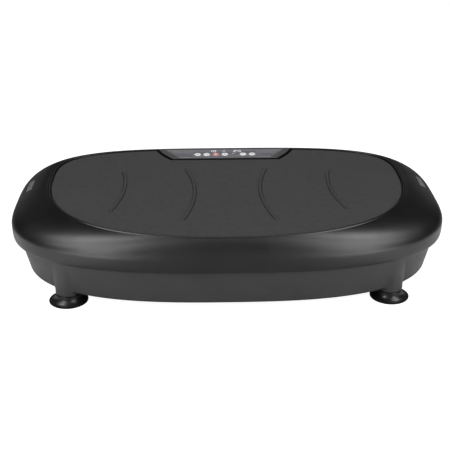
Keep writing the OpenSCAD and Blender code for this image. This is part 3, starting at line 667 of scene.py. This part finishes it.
def steel(name, color, rough=0.32, grain=(1.0, 30.0, 1.0), spangle=0.0):
    """Bare or plated steel with drawn grain and, on plated sheet, soft spangle."""
    m = Nodes(name)
    drawn = m.noise(130.0, 5.0, stretch=grain)
    stain = m.remap(m.noise(26.0, 4.0), 0.55, 0.8, 0.0, 0.4)
    tone = m.tones(drawn, color, 0.88, 1.08)
    if spangle:
        tone = m.mix(m.remap(m.cells(70.0), 0.1, 0.7, 0.0, spangle), tone, tint(color, 0.7))
    return m.finish(
        Base_Color=m.mix(stain, tone, tint(color, 0.62)),
        Metallic=1.0,
        Roughness=m.spread(drawn, rough - 0.07, rough + 0.1),
        Normal=m.bump(drawn, 0.02 * MM, 0.7))


def painted(name, color, rough=0.45):
    """Powder coat: orange peel, with bare metal showing on the sharpest edges."""
    m = Nodes(name)
    chips = m.math("MULTIPLY", m.edges(0.54, 0.62), m.remap(m.noise(90.0), 0.5, 0.6))
    return m.finish(
        Base_Color=m.mix(chips, m.tones(m.noise(20.0), color, 0.85, 1.15), (0.45, 0.45, 0.46)),
        Metallic=chips,
        Roughness=m.spread(m.noise(60.0), rough - 0.05, rough + 0.1),
        Normal=m.bump(m.noise(260.0, 2.0), 0.04 * MM))


def cast(name, color, metallic=0.0):
    """Sand or die casting: coarse skin and darker hollows."""
    m = Nodes(name)
    skin = m.noise(330.0, 6.0, 0.65)
    return m.finish(
        Base_Color=m.tones(skin, color, 0.75, 1.15),
        Metallic=metallic,
        Roughness=m.spread(skin, 0.42, 0.62),
        Normal=m.bump(skin, 0.12 * MM, 0.7))


def circuit_board(name, color):
    """Solder mask over copper: the tracks show as slightly paler straight runs."""
    m = Nodes(name)
    runs = m.add("ShaderNodeTexBrick", {
        "Vector": m.coords, "Scale": 90.0, "Mortar Size": 0.05, "Bias": -0.2}).outputs["Fac"]
    tracks = m.remap(runs, 0.0, 1.0, 0.0, 0.7)
    return m.finish(
        Base_Color=m.mix(tracks, tint(color, 0.8), tint(color, 1.8)),
        Roughness=m.spread(m.noise(120.0), 0.28, 0.4),
        Normal=m.bump(runs, 0.03 * MM),
        Coat_Weight=0.3)


def windings(name, color):
    """Enamelled copper wire laid in fine turns between steel laminations."""
    m = Nodes(name)
    wire = m.noise(300.0, 2.0, stretch=(0.2, 9.0, 9.0))
    return m.finish(
        Base_Color=m.mix(m.remap(wire, 0.35, 0.65), tint(color, 0.5), tint(color, 1.25)),
        Metallic=0.7,
        Roughness=m.spread(wire, 0.25, 0.45),
        Normal=m.bump(wire, 0.25 * MM))


def printed(name, color, glow=0.0):
    """Screen-printed ink or a lit segment; a glow given to plain ink is painted light."""
    m = Nodes(name)
    ink = m.noise(900.0)
    return m.finish(
        Base_Color=m.tones(ink, color, 0.93, 1.05),
        Roughness=m.spread(ink, 0.35, 0.5),
        Normal=m.bump(ink, 0.008 * MM),
        Emission_Color=color, Emission_Strength=glow)


# How each material slot of the record is made, and with what settings
LOOKS = {
    "base_black": (moulded, dict(shade=0.575, rough=0.50, grain=1100.0, grain_depth=0.03 * MM)),
    "display_dark": (moulded, dict(rough=0.2, coat=0.5)),
    "window_dark": (moulded, dict(rough=0.14, coat=0.8, dust=0.0)),
    "key_white": (moulded, dict(rough=0.30, coat=0.3, dust=0.0)),
    "key_red": (moulded, dict(rough=0.30, coat=0.3, dust=0.0)),
    "magnet_grey": (moulded, dict(rough=0.6)),
    "carbon": (moulded, dict(rough=0.7)),
    "component_dark": (moulded, dict(rough=0.5)),
    "fitting_black": (moulded, dict(rough=0.42)),
    "cover_black": (cover_plastic, {}),
    "mat_rubber": (mat_rubber, {}),
    "black_rubber": (smooth_rubber, {}),
    "belt_rubber": (smooth_rubber, dict(rough=0.55)),
    "cable_black": (smooth_rubber, dict(rough=0.4)),
    "lens_grey": (smoked_lens, {}),
    "console_grey": (console_plastic, {}),
    "print_white": (printed, dict(glow=0.25)),
    "board_green": (circuit_board, {}),
    "winding": (windings, {}),
    "dark_steel": (painted, {}),
    "motor_black": (painted, dict(rough=0.35)),
    "cast_grey": (cast, {}),
    "cast_alloy": (cast, dict(metallic=1.0)),
    "zinc_steel": (steel, dict(rough=0.36, spangle=0.25)),
    "bronze": (steel, dict(rough=0.3)),
    "switch_metal": (steel, dict(rough=0.28)),
    "bright_steel": (steel, dict(rough=0.2, grain=(1.0, 8.0, 8.0))),
}


def slot_material(name, color):
    make, settings = LOOKS[name]
    return make(name, tuple(color[:3]), **settings)


materials = {m["slot"]: slot_material(m["slot"], m["base_color"]) for m in record["materials"]}
inks = {
    # White ink glows a little: lit on the figures and the status light; on the stop key's mark
    # and the window's glint the glow is painted light
    "white": printed("ink_white", (0.86, 0.87, 0.90), 0.25),
    "slate": printed("ink_slate", (0.22, 0.25, 0.33)),
    "orange": printed("ink_orange", (0.75, 0.24, 0.04)),
    "dark": printed("ink_dark", (0.03, 0.03, 0.035)),
    "red": printed("ink_red", (0.55, 0.03, 0.03)),
    "grey": printed("ink_grey", (0.45, 0.46, 0.48)),
}


def dress_cad_nodes():
    """Gives every CAD node its slot's material, for those that stay in sight."""
    for part in record["subparts"]:
        for holder in nodes[part["node"]].material_slots:
            holder.material = materials[part["material_slot"]]


def dress(obj, slot, body, *replaced):
    """Gives a new piece its material, its body and the CAD nodes it stands for."""
    obj.data.materials.clear()
    obj.data.materials.append(materials[slot])
    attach(obj, body)
    if replaced:
        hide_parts(*replaced)
    return obj

# ------------------------------------------------------------------ cover


def shoulder_rings(count, inset=0.0):
    """Rings from the lip down to the waist; the front falls away from the lip at once."""
    power = 2 / SHOULDER_N
    drop = RIM_Z - LIP_STEP - WAIST_Z
    # 0 along the ends and rear, 1 from 110 mm in front of the middle
    front = np.clip(-cover_oval(0, inset, 0)[:, 1] / (110 * MM), 0, 1)
    start = np.radians(SHOULDER_START + FRONT_START * front * front * (3 - 2 * front))
    first = math.sin(math.radians(SHOULDER_START)) ** power
    for sine, _ in turns(SHOULDER_START, 90, count):
        out = (sine ** power - first) / (1 - first)
        steep = (out + (1 - out) * np.sin(start) ** power) ** (1 / power)
        share = (np.sqrt(np.maximum(0, 1 - steep ** 2)) / np.cos(start)) ** power
        ring = cover_oval(out, inset, 0)
        ring[:, 2] = WAIST_Z + (drop - inset) * share
        yield ring


def board_opening():
    """Opening in the deck over the display board, which follows the console's sides."""
    low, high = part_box("display_board")
    room = 2 * MM
    side = console_side(-room)
    side = side[(side[:, 1] > low.y - room) & (side[:, 1] < high.y + room)]
    side[:, 0] = np.minimum(side[:, 0], high.x + room)
    plan = every(np.vstack([side, mirrored(side)[::-1]]), 3)
    return slab("opening", plan, DECK_BOT - 3 * MM, DECK_TOP + 1 * MM, 0.05 * MM)


def build_cover():
    gap_edge, brow = mat_oval(GAP, 0), cover_oval(0, 0, 0)
    rings = [mat_oval(GAP, DECK_TOP)]
    # 0 along the ends and rear, 1 along the front, where the lip has its groove
    front = np.clip((-115 * MM - brow[:, 1]) / (30 * MM), 0, 1)
    for u, fall, end_fall in LIP_PROFILE:
        ring = gap_edge * (1 - u) + brow * u
        ring[:, 2] = RIM_Z - (fall * front + end_fall * (1 - front)) * MM
        rings.append(ring)
    rings += shoulder_rings(26)
    tuck, foot = 1.0 * MM, 2.2 * MM
    skirt = WAIST_Z - SKIRT_Z - foot
    rings += [cover_oval(1, tuck * (1 - cosine), WAIST_Z - skirt * sine)
              for sine, cosine in turns(8, 90, 8)]
    rings += [cover_oval(1, min(tuck + foot * (1 - cosine), WALL + 1.6 * MM),
                         SKIRT_Z + foot * (1 - sine)) for sine, cosine in turns(15, 90, 6)]
    rings += [cover_oval(1, WALL + 2.0 * MM, SKIRT_Z + up) for up in (0.6 * MM, 8 * MM)]
    rings += list(shoulder_rings(12, WALL))[::-1]
    rings += [mat_oval(4 * MM, DECK_BOT + up) for up in (2 * MM, 0)]
    cover = boolean(loft("cover_shell", rings), board_opening())
    dress(cover, "cover_black", "platform", "top_cover")

# ------------------------------------------------------------------ mat


def mat_outline():
    """The mat's edge with the console's bay let into the rear."""
    side = every(cut_side(3 * MM), 3)
    edge = mat_oval(0, 0, 420)[:, :2]
    meet = side[-1, 0] + 1.0 * MM
    rear = edge[:, 1] > MAT_WIDE_Y
    left = np.flatnonzero(rear & (edge[:, 0] < -meet))[0]
    right = np.flatnonzero(rear & (edge[:, 0] > meet))[-1]
    outline = np.vstack([edge[left:], edge[:right + 1], side[::-1], mirrored(side)])
    return resample(round_corners(outline, 3 * MM, 6, 25), 3 * MM)


def rib_arcs():
    """Centre, radius, first and last angle and side of each raised arc."""
    for middle, radius, centre_y, first_y, last_y in RIBS:
        first, last = (math.asin((y - centre_y) / radius) for y in (first_y, last_y))
        for side in (-1, 1):
            centre = np.array([side * (middle + radius), centre_y]) * MM
            yield centre, radius * MM, first, last, side


def rib_height(x, y):
    """Height of the arcs above the mat: a flat bead with a groove deepest on its front side."""
    height = np.zeros_like(x)
    for centre, radius, first, last, side in rib_arcs():
        dx, dy = (centre[0] - x) * side, y - centre[1]
        angle = np.clip(np.arctan2(dy, dx), first, last)
        ahead = dy - radius * np.sin(angle)
        away = np.hypot(dx - radius * np.cos(angle), ahead)
        facing = np.clip(0.5 - 2.2 * ahead / np.maximum(away, 0.01 * MM), 0.12, 1)
        # From here on in half widths: the bead's flank ends at 0.78, the groove's middle is 0.98
        away = away / RIB_HALF
        bead = RIB_H * np.clip((0.78 - away) / 0.34, 0, 1)
        groove = -1.8 * MM * facing * np.clip(1 - np.abs(away - 0.98) / 0.22, 0, 1)
        height = np.where(away < 1.22, bead + groove, height)
    return height


def rib_points():
    """Fine points along and across each arc, so that the bead is real geometry."""
    points = []
    half = np.array([0.22, 0.44, 0.6, 0.74, 0.86, 0.98, 1.1, 1.25]) * RIB_HALF
    across = np.concatenate([-half[::-1], [0], half])
    for centre, radius, first, last, side in rib_arcs():
        for angle in np.linspace(first, last, int((last - first) * radius / (2.2 * MM))):
            out = np.array([-side * math.cos(angle), math.sin(angle)])
            points += [centre + out * (radius + w) for w in across]
        for angle, end in ((first, -1), (last, 1)):
            out = np.array([-side * math.cos(angle), math.sin(angle)])
            ahead = np.array([side * math.sin(angle), math.cos(angle)]) * end
            for sine, cosine in turns(15, 165, 11):
                way = out * cosine + ahead * sine
                points += [centre + out * radius + way * w for w in half]
    return np.array(points)


def mat_surface(x, y):
    return MAT_EDGE + MAT_CROWN * (1 - mat_share(x, y) ** 2) + rib_height(x, y)


def mat_points(edge):
    """Points inside the mat's top edge: an even net, and a fine one along the arcs."""
    beads = rib_points()
    step = 6 * MM
    x, y = np.meshgrid(np.arange(-MAT_A, MAT_A, step), np.arange(-MAT_FRONT, MAT_REAR, step))
    x[1::2] += step / 2
    net = np.stack([x.ravel(), y.ravel()], 1)
    net = net[inside_polygon(net, inset_outline(edge, 3 * MM))]
    near = np.array([np.min(np.sum((beads - p) ** 2, 1)) for p in net])
    return np.vstack([net[near > (2.5 * MM) ** 2], beads])


def build_mat():
    outline = mat_outline()
    edge = 1.7 * MM
    loops = [outline]
    heights = [np.full(len(outline), DECK_TOP)]
    for sine, cosine in turns(0, 90, 5):
        loop = inset_outline(outline, edge * (1 - cosine))
        loops.append(loop)
        heights.append(mat_surface(*loop.T) - edge * (1 - sine))
    verts = [(*p, z) for loop, height in zip(loops, heights) for p, z in zip(loop, height)]
    faces = loft_faces(len(loops), len(outline))
    top, top_faces = triangulate([loops[-1]], mat_points(loops[-1]))
    under, under_faces = triangulate([outline])
    for points, levels, triangles in ((top, mat_surface(*top.T), top_faces),
                                      (under, np.full(len(under), DECK_TOP), under_faces)):
        start = len(verts)
        verts += [(*p, z) for p, z in zip(points, levels)]
        faces += [[start + k for k in t] for t in triangles]
    dress(make_object("standing_mat", verts, faces, 40), "mat_rubber", "platform", "mat")

# ------------------------------------------------------------------ console

# The ink and shapes of each key's mark
KEY_MARKS = {
    "slower": ("slate", [rectangle(4.2, 1.5)]),
    "mode": ("orange", [ring_shape(2.4, 1.1)]),
    "stop": ("white", [rectangle(3, 3)]),
    "start": ("dark", [(np.array([[-1.5, -2.0], [2.3, 0], [-1.5, 2.0]]),)]),
    "faster": ("grey", [rectangle(4.2, 1.3), rectangle(1.3, 1.4, 0, 1.36),
                        rectangle(1.3, 1.4, 0, -1.36)]),
    "power": ("red", [ring_shape(2.5, 0.9), rectangle(0.9, 2.0, 0, 2.4)]),
}


def lens_outline(grow, radius):
    front_x, rear_x = LENS_FRONT_X + grow, lens_hi.x + grow
    front_y, rear_y = lens_lo.y - grow, lens_hi.y + grow
    corners = np.array([[-front_x, front_y], [front_x, front_y], [rear_x, rear_y],
                        [-rear_x, rear_y]])
    return resample(round_corners(corners, radius, 8), 4 * MM)


def housing_outline():
    side = every(cut_side(0), 4)
    rear = mat_oval(-0.2 * MM, 0, 420)[:, :2]
    meet = side[-1, 0] - 0.5 * MM
    rear = rear[(rear[:, 1] > 0) & (np.abs(rear[:, 0]) < meet)]
    points = np.vstack([side, rear, mirrored(side)[::-1]])
    return resample(round_corners(points, 3 * MM, 6, 25), 4 * MM)


def build_console():
    seat = lens_outline(0.25 * MM, 3 * MM)
    housing = slab("console_frame", housing_outline(), DECK_TOP, housing_hi.z, 0.5 * MM,
                   [seat[::-1]], 0.35 * MM)
    ledge = slab("console_ledge", seat, DECK_TOP + 0.5 * MM, LENS_BOT, 0.05 * MM,
                 [lens_outline(-2.5 * MM, 2 * MM)[::-1]])
    dress(join("console_frame_and_ledge", [housing, ledge]), "console_grey", "platform",
          "console_housing")
    holes = [circle(*plan_centre(node), KEY_R + 0.2 * MM, 64, True)
             for node in [*("key_" + key for key in KEY_MARKS), "ir_window"]]
    lens = slab("console_overlay", lens_outline(0, 3 * MM), LENS_BOT, LENS_TOP, 0.35 * MM,
                holes, 0.2 * MM)
    dress(lens, "lens_grey", "platform", "console_lens")


def mark(name, shapes, place, ink, body, thick=0.06 * MM):
    """A thin raised mark at a place on a face, from shapes in mm about its own centre."""
    x, y, z = place
    parts = []
    for i, shape in enumerate(shapes):
        outline, *holes = [loop * MM + (x, y) for loop in shape]
        parts.append(slab(f"{name}_{i}", outline, z - 0.1 * MM, z + thick, 0.03 * MM, holes))
    piece = join(name, parts)
    piece.data.materials.append(inks[ink])
    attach(piece, body)


def build_keys():
    """Dished caps, each with a flange under the overlay and a stem down to its switch."""
    edge, dish = 0.6 * MM, 0.35 * MM
    stem_r, flange_r = 1.5 * MM, KEY_R + 1.4 * MM
    flange_bot, flange_top = LENS_BOT - 1.0 * MM, LENS_BOT - 0.1 * MM
    dish_r = KEY_R - edge - 0.4 * MM
    for key, (ink, shapes) in KEY_MARKS.items():
        node, body = "key_" + key, key + "_key"
        low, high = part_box(node)
        profile = [(0, low.z), (stem_r, low.z), (stem_r, flange_bot), (flange_r, flange_bot),
                   (flange_r, flange_top), (KEY_R, flange_top)]
        profile += [(KEY_R - edge * (1 - cosine), high.z - edge * (1 - sine))
                    for sine, cosine in turns(0, 90, 7)]
        profile += [(dish_r * (1 - t), high.z - dish * math.sin(t * np.pi / 2) ** 2)
                    for t in np.linspace(0.05, 1, 8)]
        cap = revolve(node + "_cap", profile, plan_centre(node), 72)
        dress(cap, "key_red" if key == "stop" else "key_white", body, node)
        mark(key + "_mark", shapes, (*plan_centre(node), high.z - dish), ink, body, 0.12 * MM)


def build_window():
    """Dark window of the remote control's receiver, with a printed ring and a painted glint."""
    low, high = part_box("ir_window")
    x, y = plan_centre("ir_window")
    r, edge = KEY_R + 0.15 * MM, 0.4 * MM
    flange_r, flange_top = KEY_R + 1.5 * MM, low.z + 1.1 * MM
    profile = [(0, low.z), (flange_r, low.z), (flange_r, flange_top), (r, flange_top)]
    profile += [(r - edge * (1 - cosine), high.z - edge * (1 - sine))
                for sine, cosine in turns(0, 90, 6)]
    profile += [(0, high.z)]
    dress(revolve("remote_window", profile, (x, y), 72), "window_dark", "platform", "ir_window")
    mark("window_ring", [ring_shape(4.9, 0.45)], (x, y, high.z), "grey", "platform")
    # Painted glint: a small white patch, in glowing ink, up and to the left on the window
    mark("window_painted_glint", [rectangle(2.6, 1.2)], (x - 0.8 * MM, y + 1.6 * MM, high.z), "white",
         "platform")


# Lit segments of each figure: top, top right, bottom right, bottom, bottom left, top left,
# middle
SEGMENTS = {"0": "1111110", "1": "0110000", "2": "1101101"}


def figure_shapes(text, w, h, pitch, stroke):
    """Seven-segment figures centred on the origin."""
    shapes = []
    places = ((0, h / 2, True), (w / 2, h / 4, False), (w / 2, -h / 4, False), (0, -h / 2, True),
              (-w / 2, -h / 4, False), (-w / 2, h / 4, False), (0, 0, True))
    for i, sign in enumerate(text):
        x = (i - (len(text) - 1) / 2) * pitch
        for lit, (sx, sy, level) in zip(SEGMENTS[sign], places):
            if lit == "0":
                continue
            long, half = (w if level else h / 2) / 2 - stroke * 0.35, stroke / 2
            bar = np.array([[-long, 0], [-long + half, -half], [long - half, -half],
                            [long, 0], [long - half, half], [-long + half, half]])
            bar = bar if level else bar[:, ::-1] * (-1, 1)
            shapes.append((bar + (x + sx, sy),))
    return shapes


def build_displays():
    """Two lit readings and a status light, printed on the overlay over the modules."""
    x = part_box("display_modules")[1].x - 9 * MM
    y = plan_centre("display_modules")[1]
    for name, side, text in (("figures_left", -1, "10"), ("figures_right", 1, "20")):
        mark(name, figure_shapes(text, 4.6, 7.2, 7.6, 1.25), (side * x, y, LENS_TOP), "white",
             "platform", 0.1 * MM)
    mark("status_light", [rectangle(5, 1.2)], (-1.5 * MM, y + 1 * MM, LENS_TOP), "white",
         "platform", 0.1 * MM)

# ------------------------------------------------------------------ tub and legs


def pocket_block(name, grow, front, rear, bevel):
    """A block as wide and high as the pocket, grown on all sides, between two depths."""
    return block(name, (POCKET_X[0] - grow, front, POCKET_Z[0] - grow),
                 (POCKET_X[1] + grow, rear, POCKET_Z[1] + grow), bevel)


def build_tub():
    """The lower tub: tapering wall, rounded bottom corner, open top."""
    wall_foot = BASE_BOT + BASE_CORNER + 2 * MM
    rings = [base_oval(BASE_CORNER * (1 - sine), BASE_BOT + BASE_CORNER * (1 - cosine))
             for sine, cosine in turns(0, 90, 10)]
    rings += [base_oval(0, z) for z in np.linspace(wall_foot, BASE_TOP - 1 * MM, 14)]
    rings += [base_oval(0.4 * MM, BASE_TOP - 0.2 * MM), base_oval(1.2 * MM, BASE_TOP),
              base_oval(WALL - 0.4 * MM, BASE_TOP), base_oval(WALL, BASE_TOP - 0.6 * MM)]
    rings += [base_oval(WALL, z) for z in np.linspace(BASE_TOP - 3 * MM, wall_foot, 10)]
    rings += [base_oval(WALL + 2 * MM, BASE_BOT + 5 * MM),
              base_oval(WALL + 8 * MM, BASE_BOT + 3.5 * MM)]
    tub = boolean(loft("base_tub", rings),
                  pocket_block("pocket_cut", 0, 150 * MM, 200 * MM, 2 * MM))
    dress(tub, "base_black", "base", "base_shell")


def build_pocket():
    """The recess that holds the mains inlet and its switch."""
    liner = pocket_block("socket_pocket", WALL, POCKET_Y - WALL, 176 * MM, 1.5 * MM)
    boolean(liner, pocket_block("hollow", 0, POCKET_Y, 190 * MM, 1.0 * MM))
    trim = 2.0 * MM
    for low, high in ((inlet_lo, inlet_hi), (switch_lo, switch_hi)):
        boolean(liner, block("hole", (low.x + trim, POCKET_Y - 6 * MM, low.z + trim),
                             (high.x - trim, POCKET_Y + 2 * MM, high.z - trim)))
    dress(liner, "base_black", "base")


def surface_net(field, origin, step):
    """Vertices and quads of the zero surface of a field sampled on a grid."""
    inside = field < 0
    shape = np.array(field.shape) - 1
    total, hits = np.zeros((*shape, 3)), np.zeros(shape)
    axes = np.eye(3, dtype=int)
    for axis in axes:
        u, v = axes[axis == 0]
        for start in (u * 0, v, u, u + v):
            low, high = (tuple(slice(a, a + n) for a, n in zip(corner, shape))
                         for corner in (start, start + axis))
            crosses = inside[low] != inside[high]
            share = -field[low] / np.where(crosses, field[high] - field[low], 1.0)
            total += np.where(crosses[..., None], start + share[..., None] * axis, 0.0)
            hits += crosses
    used = hits > 0
    index = -np.ones(shape, int)
    index[used] = np.arange(used.sum())
    verts = origin + step * (np.argwhere(used) + total[used] / hits[used][:, None])
    faces = []
    for i, axis in enumerate(axes):
        u, v = axes[axis == 0]
        for p in np.argwhere(np.diff(inside, axis=i)):
            if all(0 < p[k] < shape[k] for k in range(3) if k != i):
                corners = (p - u - v, p - v, p, p - u)
                faces.append([index[tuple(corner)] for corner in corners])
    return verts, faces


def rounded_meet(u, v, r):
    """Signed distance to the part where both are below 0, its corner rounded."""
    u, v = u + r, v + r
    return np.minimum(np.maximum(u, v), 0) + np.hypot(np.maximum(u, 0), np.maximum(v, 0)) - r


def tub_distance(x, y, z):
    """Signed distance to the tub, taken as solid, with its rounded bottom corner."""
    a, b = base_radii(z)
    b = np.where(y < 0, b, b - BASE_REAR_TRIM)
    n = np.where(y < 0, BASE_N[0], BASE_N[1])
    px, py = (np.abs(x) / a) ** n, (np.abs(y) / b) ** n
    share = (px + py) ** (1 / n)
    gx = share ** (1 - n) * px / np.maximum(np.abs(x), 1e-9)
    gy = share ** (1 - n) * py / np.maximum(np.abs(y), 1e-9)
    return rounded_meet((share - 1) / np.hypot(gx, gy), BASE_BOT - z, BASE_CORNER)


def leg_field(x, y, z, centre):
    """Leg and tub wall run together with a soft fillet, cut to a boss round the leg."""
    away = np.hypot(x - centre[0], y - centre[1])
    leg = np.maximum(rounded_meet(away - LEG_R, LEG_FOOT - z, 1.2 * MM), z - LEG_TOP)
    tub = tub_distance(x, y, z)
    hidden, blend = 0.12 * MM, 3.5 * MM
    h = np.maximum(blend - np.abs(tub + hidden - leg), 0) / blend
    both = np.minimum(tub + hidden, leg) - h * h * blend / 4
    carve = np.minimum(-tub - WALL, leg)
    return np.maximum(np.maximum(both, carve), np.maximum(away - BOSS_R, z - BOSS_TOP))


def settle(verts, centre):
    """Moves vertices onto the true surface, so that it shades smoothly."""
    small = 0.05 * MM
    for _ in range(4):
        value = leg_field(*verts.T, centre)
        slope = np.stack([(leg_field(*(verts + d * small).T, centre) - value) / small
                          for d in np.eye(3)], 1)
        size = np.maximum(np.sum(slope * slope, 1), 0.25)
        move = -(value / size)[:, None] * slope
        length = np.maximum(np.linalg.norm(move, axis=1, keepdims=True), 1e-12)
        verts = verts + move * np.minimum(1, 0.6 * MM / length)
    return verts


def cup_centres():
    """Name and place of each foot, from the CAD suction cups."""
    co = np.array([v.co for v in nodes["suction_cups"].data.vertices])
    for name, sx, sy in (("front_left", -1, -1), ("front_right", 1, -1),
                         ("rear_left", -1, 1), ("rear_right", 1, 1)):
        own = co[(co[:, 0] * sx > 0) & (co[:, 1] * sy > 0)]
        x, y, _ = (own.min(0) + own.max(0)) / 2
        yield name, x, y


FEET = list(cup_centres())
CUP_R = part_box("suction_cups")[1].y - FEET[-1][2]


def build_legs():
    step, reach = 1.1 * MM, BOSS_R + 1.5 * MM
    for name, x, y in FEET:
        grid = [np.arange(x - reach, x + reach, step), np.arange(y - reach, y + reach, step),
                np.arange(LEG_FOOT - 3 * MM, BOSS_TOP + 2 * MM, step)]
        field = leg_field(*np.meshgrid(*grid, indexing="ij"), (x, y))
        verts, faces = surface_net(field, np.array([along[0] for along in grid]), step)
        leg = make_object("leg_" + name, settle(verts, (x, y)), faces, 50)
        dress(leg, "base_black", "base")


def build_cups():
    """Glossy rubber cups: neck, groove, flared bell, thin sealing lip, hollow under."""
    neck, collar, bore = LEG_R - 0.3 * MM, 0.8 * MM, 2.6 * MM
    lip_z, bell, roof = 1.1 * MM, 9.7 * MM, 7.5 * MM
    roof_r, hollow_r = 15 * MM, CUP_R - 4 * MM
    profile = [(bore, LEG_FOOT), (neck - 1.4 * MM, LEG_FOOT), (neck - 1.5 * MM, 12.9 * MM)]
    profile += [(neck - collar * (1 - sine), 11.8 * MM + collar * cosine)
                for sine, cosine in turns(0, 90, 5)]
    profile += [(neck + (CUP_R - neck) * (1 - sine), lip_z + bell * (1 - cosine))
                for sine, cosine in turns(90, 0, 22)]
    profile += [(CUP_R, 0.7 * MM), (CUP_R - 0.1 * MM, 0.25 * MM), (CUP_R - 0.4 * MM, 0.0)]
    profile += [(roof_r + (hollow_r - roof_r) * (1 - sine), roof * (1 - cosine))
                for sine, cosine in turns(0, 90, 14)]
    profile += [(bore, roof)]
    for name, x, y in FEET:
        cup = revolve("suction_cup_" + name, profile, (x, y), 128)
        dress(cup, "black_rubber", "base", "suction_cups")

# ------------------------------------------------------------------ floor, light, camera

# Bright parts of the floor that only reflections see, each on both sides of the plate: how
# far out along X, front and rear along Y in metres, brightness
FLOOR_PATCHES = ((0.55, -0.45, -0.15, 0.66), (1.0, -0.9, -0.45, 5.9), (0.8, -0.15, 0.1, 0.58))

# Square panels that light the plate: name, side in metres, distance, degrees round from
# the front, degrees up, brightness; those off the centre line stand on both sides
PANELS = (("low_front", 0.6, 1.8, 38, 12, 5.6), ("front", 0.6, 1.8, 38, 32, 4.6),
          ("side", 0.6, 1.8, 58, 32, 4.8), ("high_side", 0.6, 1.8, 58, 52, 3.8),
          ("high_end", 0.6, 1.8, 80, 52, 6.9), ("rear_side", 0.6, 1.8, 145, 8, 0.22),
          ("middle", 0.6, 1.8, 0, 32, 0.8), ("back", 0.8, 2.2, 180, 40, 0.9),
          ("low_back", 0.8, 2.2, 180, 12, 0.3))


def build_floor():
    """A white floor; to the plate it is dark but for the patches beside and before it."""
    mesh = bpy.data.meshes.new("floor")
    mesh.from_pydata([(-6, -6, 0), (6, -6, 0), (6, 6, 0), (-6, 6, 0)], [], [(0, 1, 2, 3)])
    floor = add_object("floor", mesh)
    m = Nodes("floor_white")
    x, y, _ = m.axes()
    side = m.math("ABSOLUTE", x)
    beside = m.remap(side, 0.27, 0.33)
    bounce = 0.0
    for far, front, rear, brightness in FLOOR_PATCHES:
        across = m.math("MULTIPLY", beside, m.remap(side, far - 0.05, far + 0.05, 1.0, 0.0))
        along = m.math("MULTIPLY", m.remap(y, front - 0.03, front + 0.03),
                       m.remap(y, rear - 0.03, rear + 0.03, brightness, 0.0))
        bounce = m.math("ADD", bounce, m.math("MULTIPLY", across, along))
    to_camera = m.add("ShaderNodeLightPath").outputs["Is Camera Ray"]
    glow = m.add("ShaderNodeMix", {"Factor": to_camera, 2: bounce, 3: 0.93}, data_type="FLOAT")
    underside = m.add("ShaderNodeNewGeometry").outputs["Backfacing"]
    mesh.materials.append(m.finish(
        Base_Color=(0.4, 0.4, 0.4), Roughness=0.9, Specular_IOR_Level=0.0,
        Alpha=m.math("SUBTRACT", 1.0, underside),
        Emission_Color=(1.0, 1.0, 1.0), Emission_Strength=glow.outputs[0]))


def build_world():
    """White to the camera and black to everything else, so that only the panels light it."""
    world = bpy.data.worlds.new("studio")
    bpy.context.scene.world = world
    world.use_nodes = True
    tree = world.node_tree
    path = tree.nodes.new("ShaderNodeLightPath")
    tree.links.new(path.outputs["Is Camera Ray"], tree.nodes["Background"].inputs["Color"])


def towards(round_degrees, up_degrees):
    """Direction from the plate, by degrees round to the right from the front and up."""
    turn, up = math.radians(round_degrees), math.radians(up_degrees)
    return Vector((math.sin(turn) * math.cos(up), -math.cos(turn) * math.cos(up), math.sin(up)))


def light_panels():
    aim = Vector((0, 0, 0.08))
    for name, width, away, round_degrees, up_degrees, brightness in PANELS:
        for side in (1,) if round_degrees in (0, 180) else (-1, 1):
            light = bpy.data.lights.new(name, "AREA")
            light.size = width
            light.energy = brightness * math.pi * width ** 2
            panel = add_object(name + ("_left" if side < 0 else "_right"), light)
            way = towards(side * round_degrees, up_degrees)
            panel.location = aim + away * way
            panel.rotation_euler = way.to_track_quat("Z", "Y").to_euler()


def build_camera():
    """Looks from the front at 24.9 degrees down, a little to the left of straight on."""
    camera = bpy.data.cameras.new("camera")
    camera.lens, camera.sensor_width = 78.2, 36
    camera.shift_x = -0.0049
    obj = add_object("camera", camera)
    target = Vector((0, 0, 0.060))
    obj.location = target + 1.550 * towards(-1.61, 24.86)
    obj.rotation_euler = (target - obj.location).to_track_quat("-Z", "Y").to_euler()
    bpy.context.scene.camera = obj

# ------------------------------------------------------------------ build

dress_cad_nodes()
build_cover()
build_mat()
build_console()
build_keys()
build_window()
build_displays()
build_tub()
build_pocket()
build_legs()
build_cups()
build_floor()
build_world()
light_panels()
build_camera()
bpy.context.scene.view_settings.view_transform = "Standard"
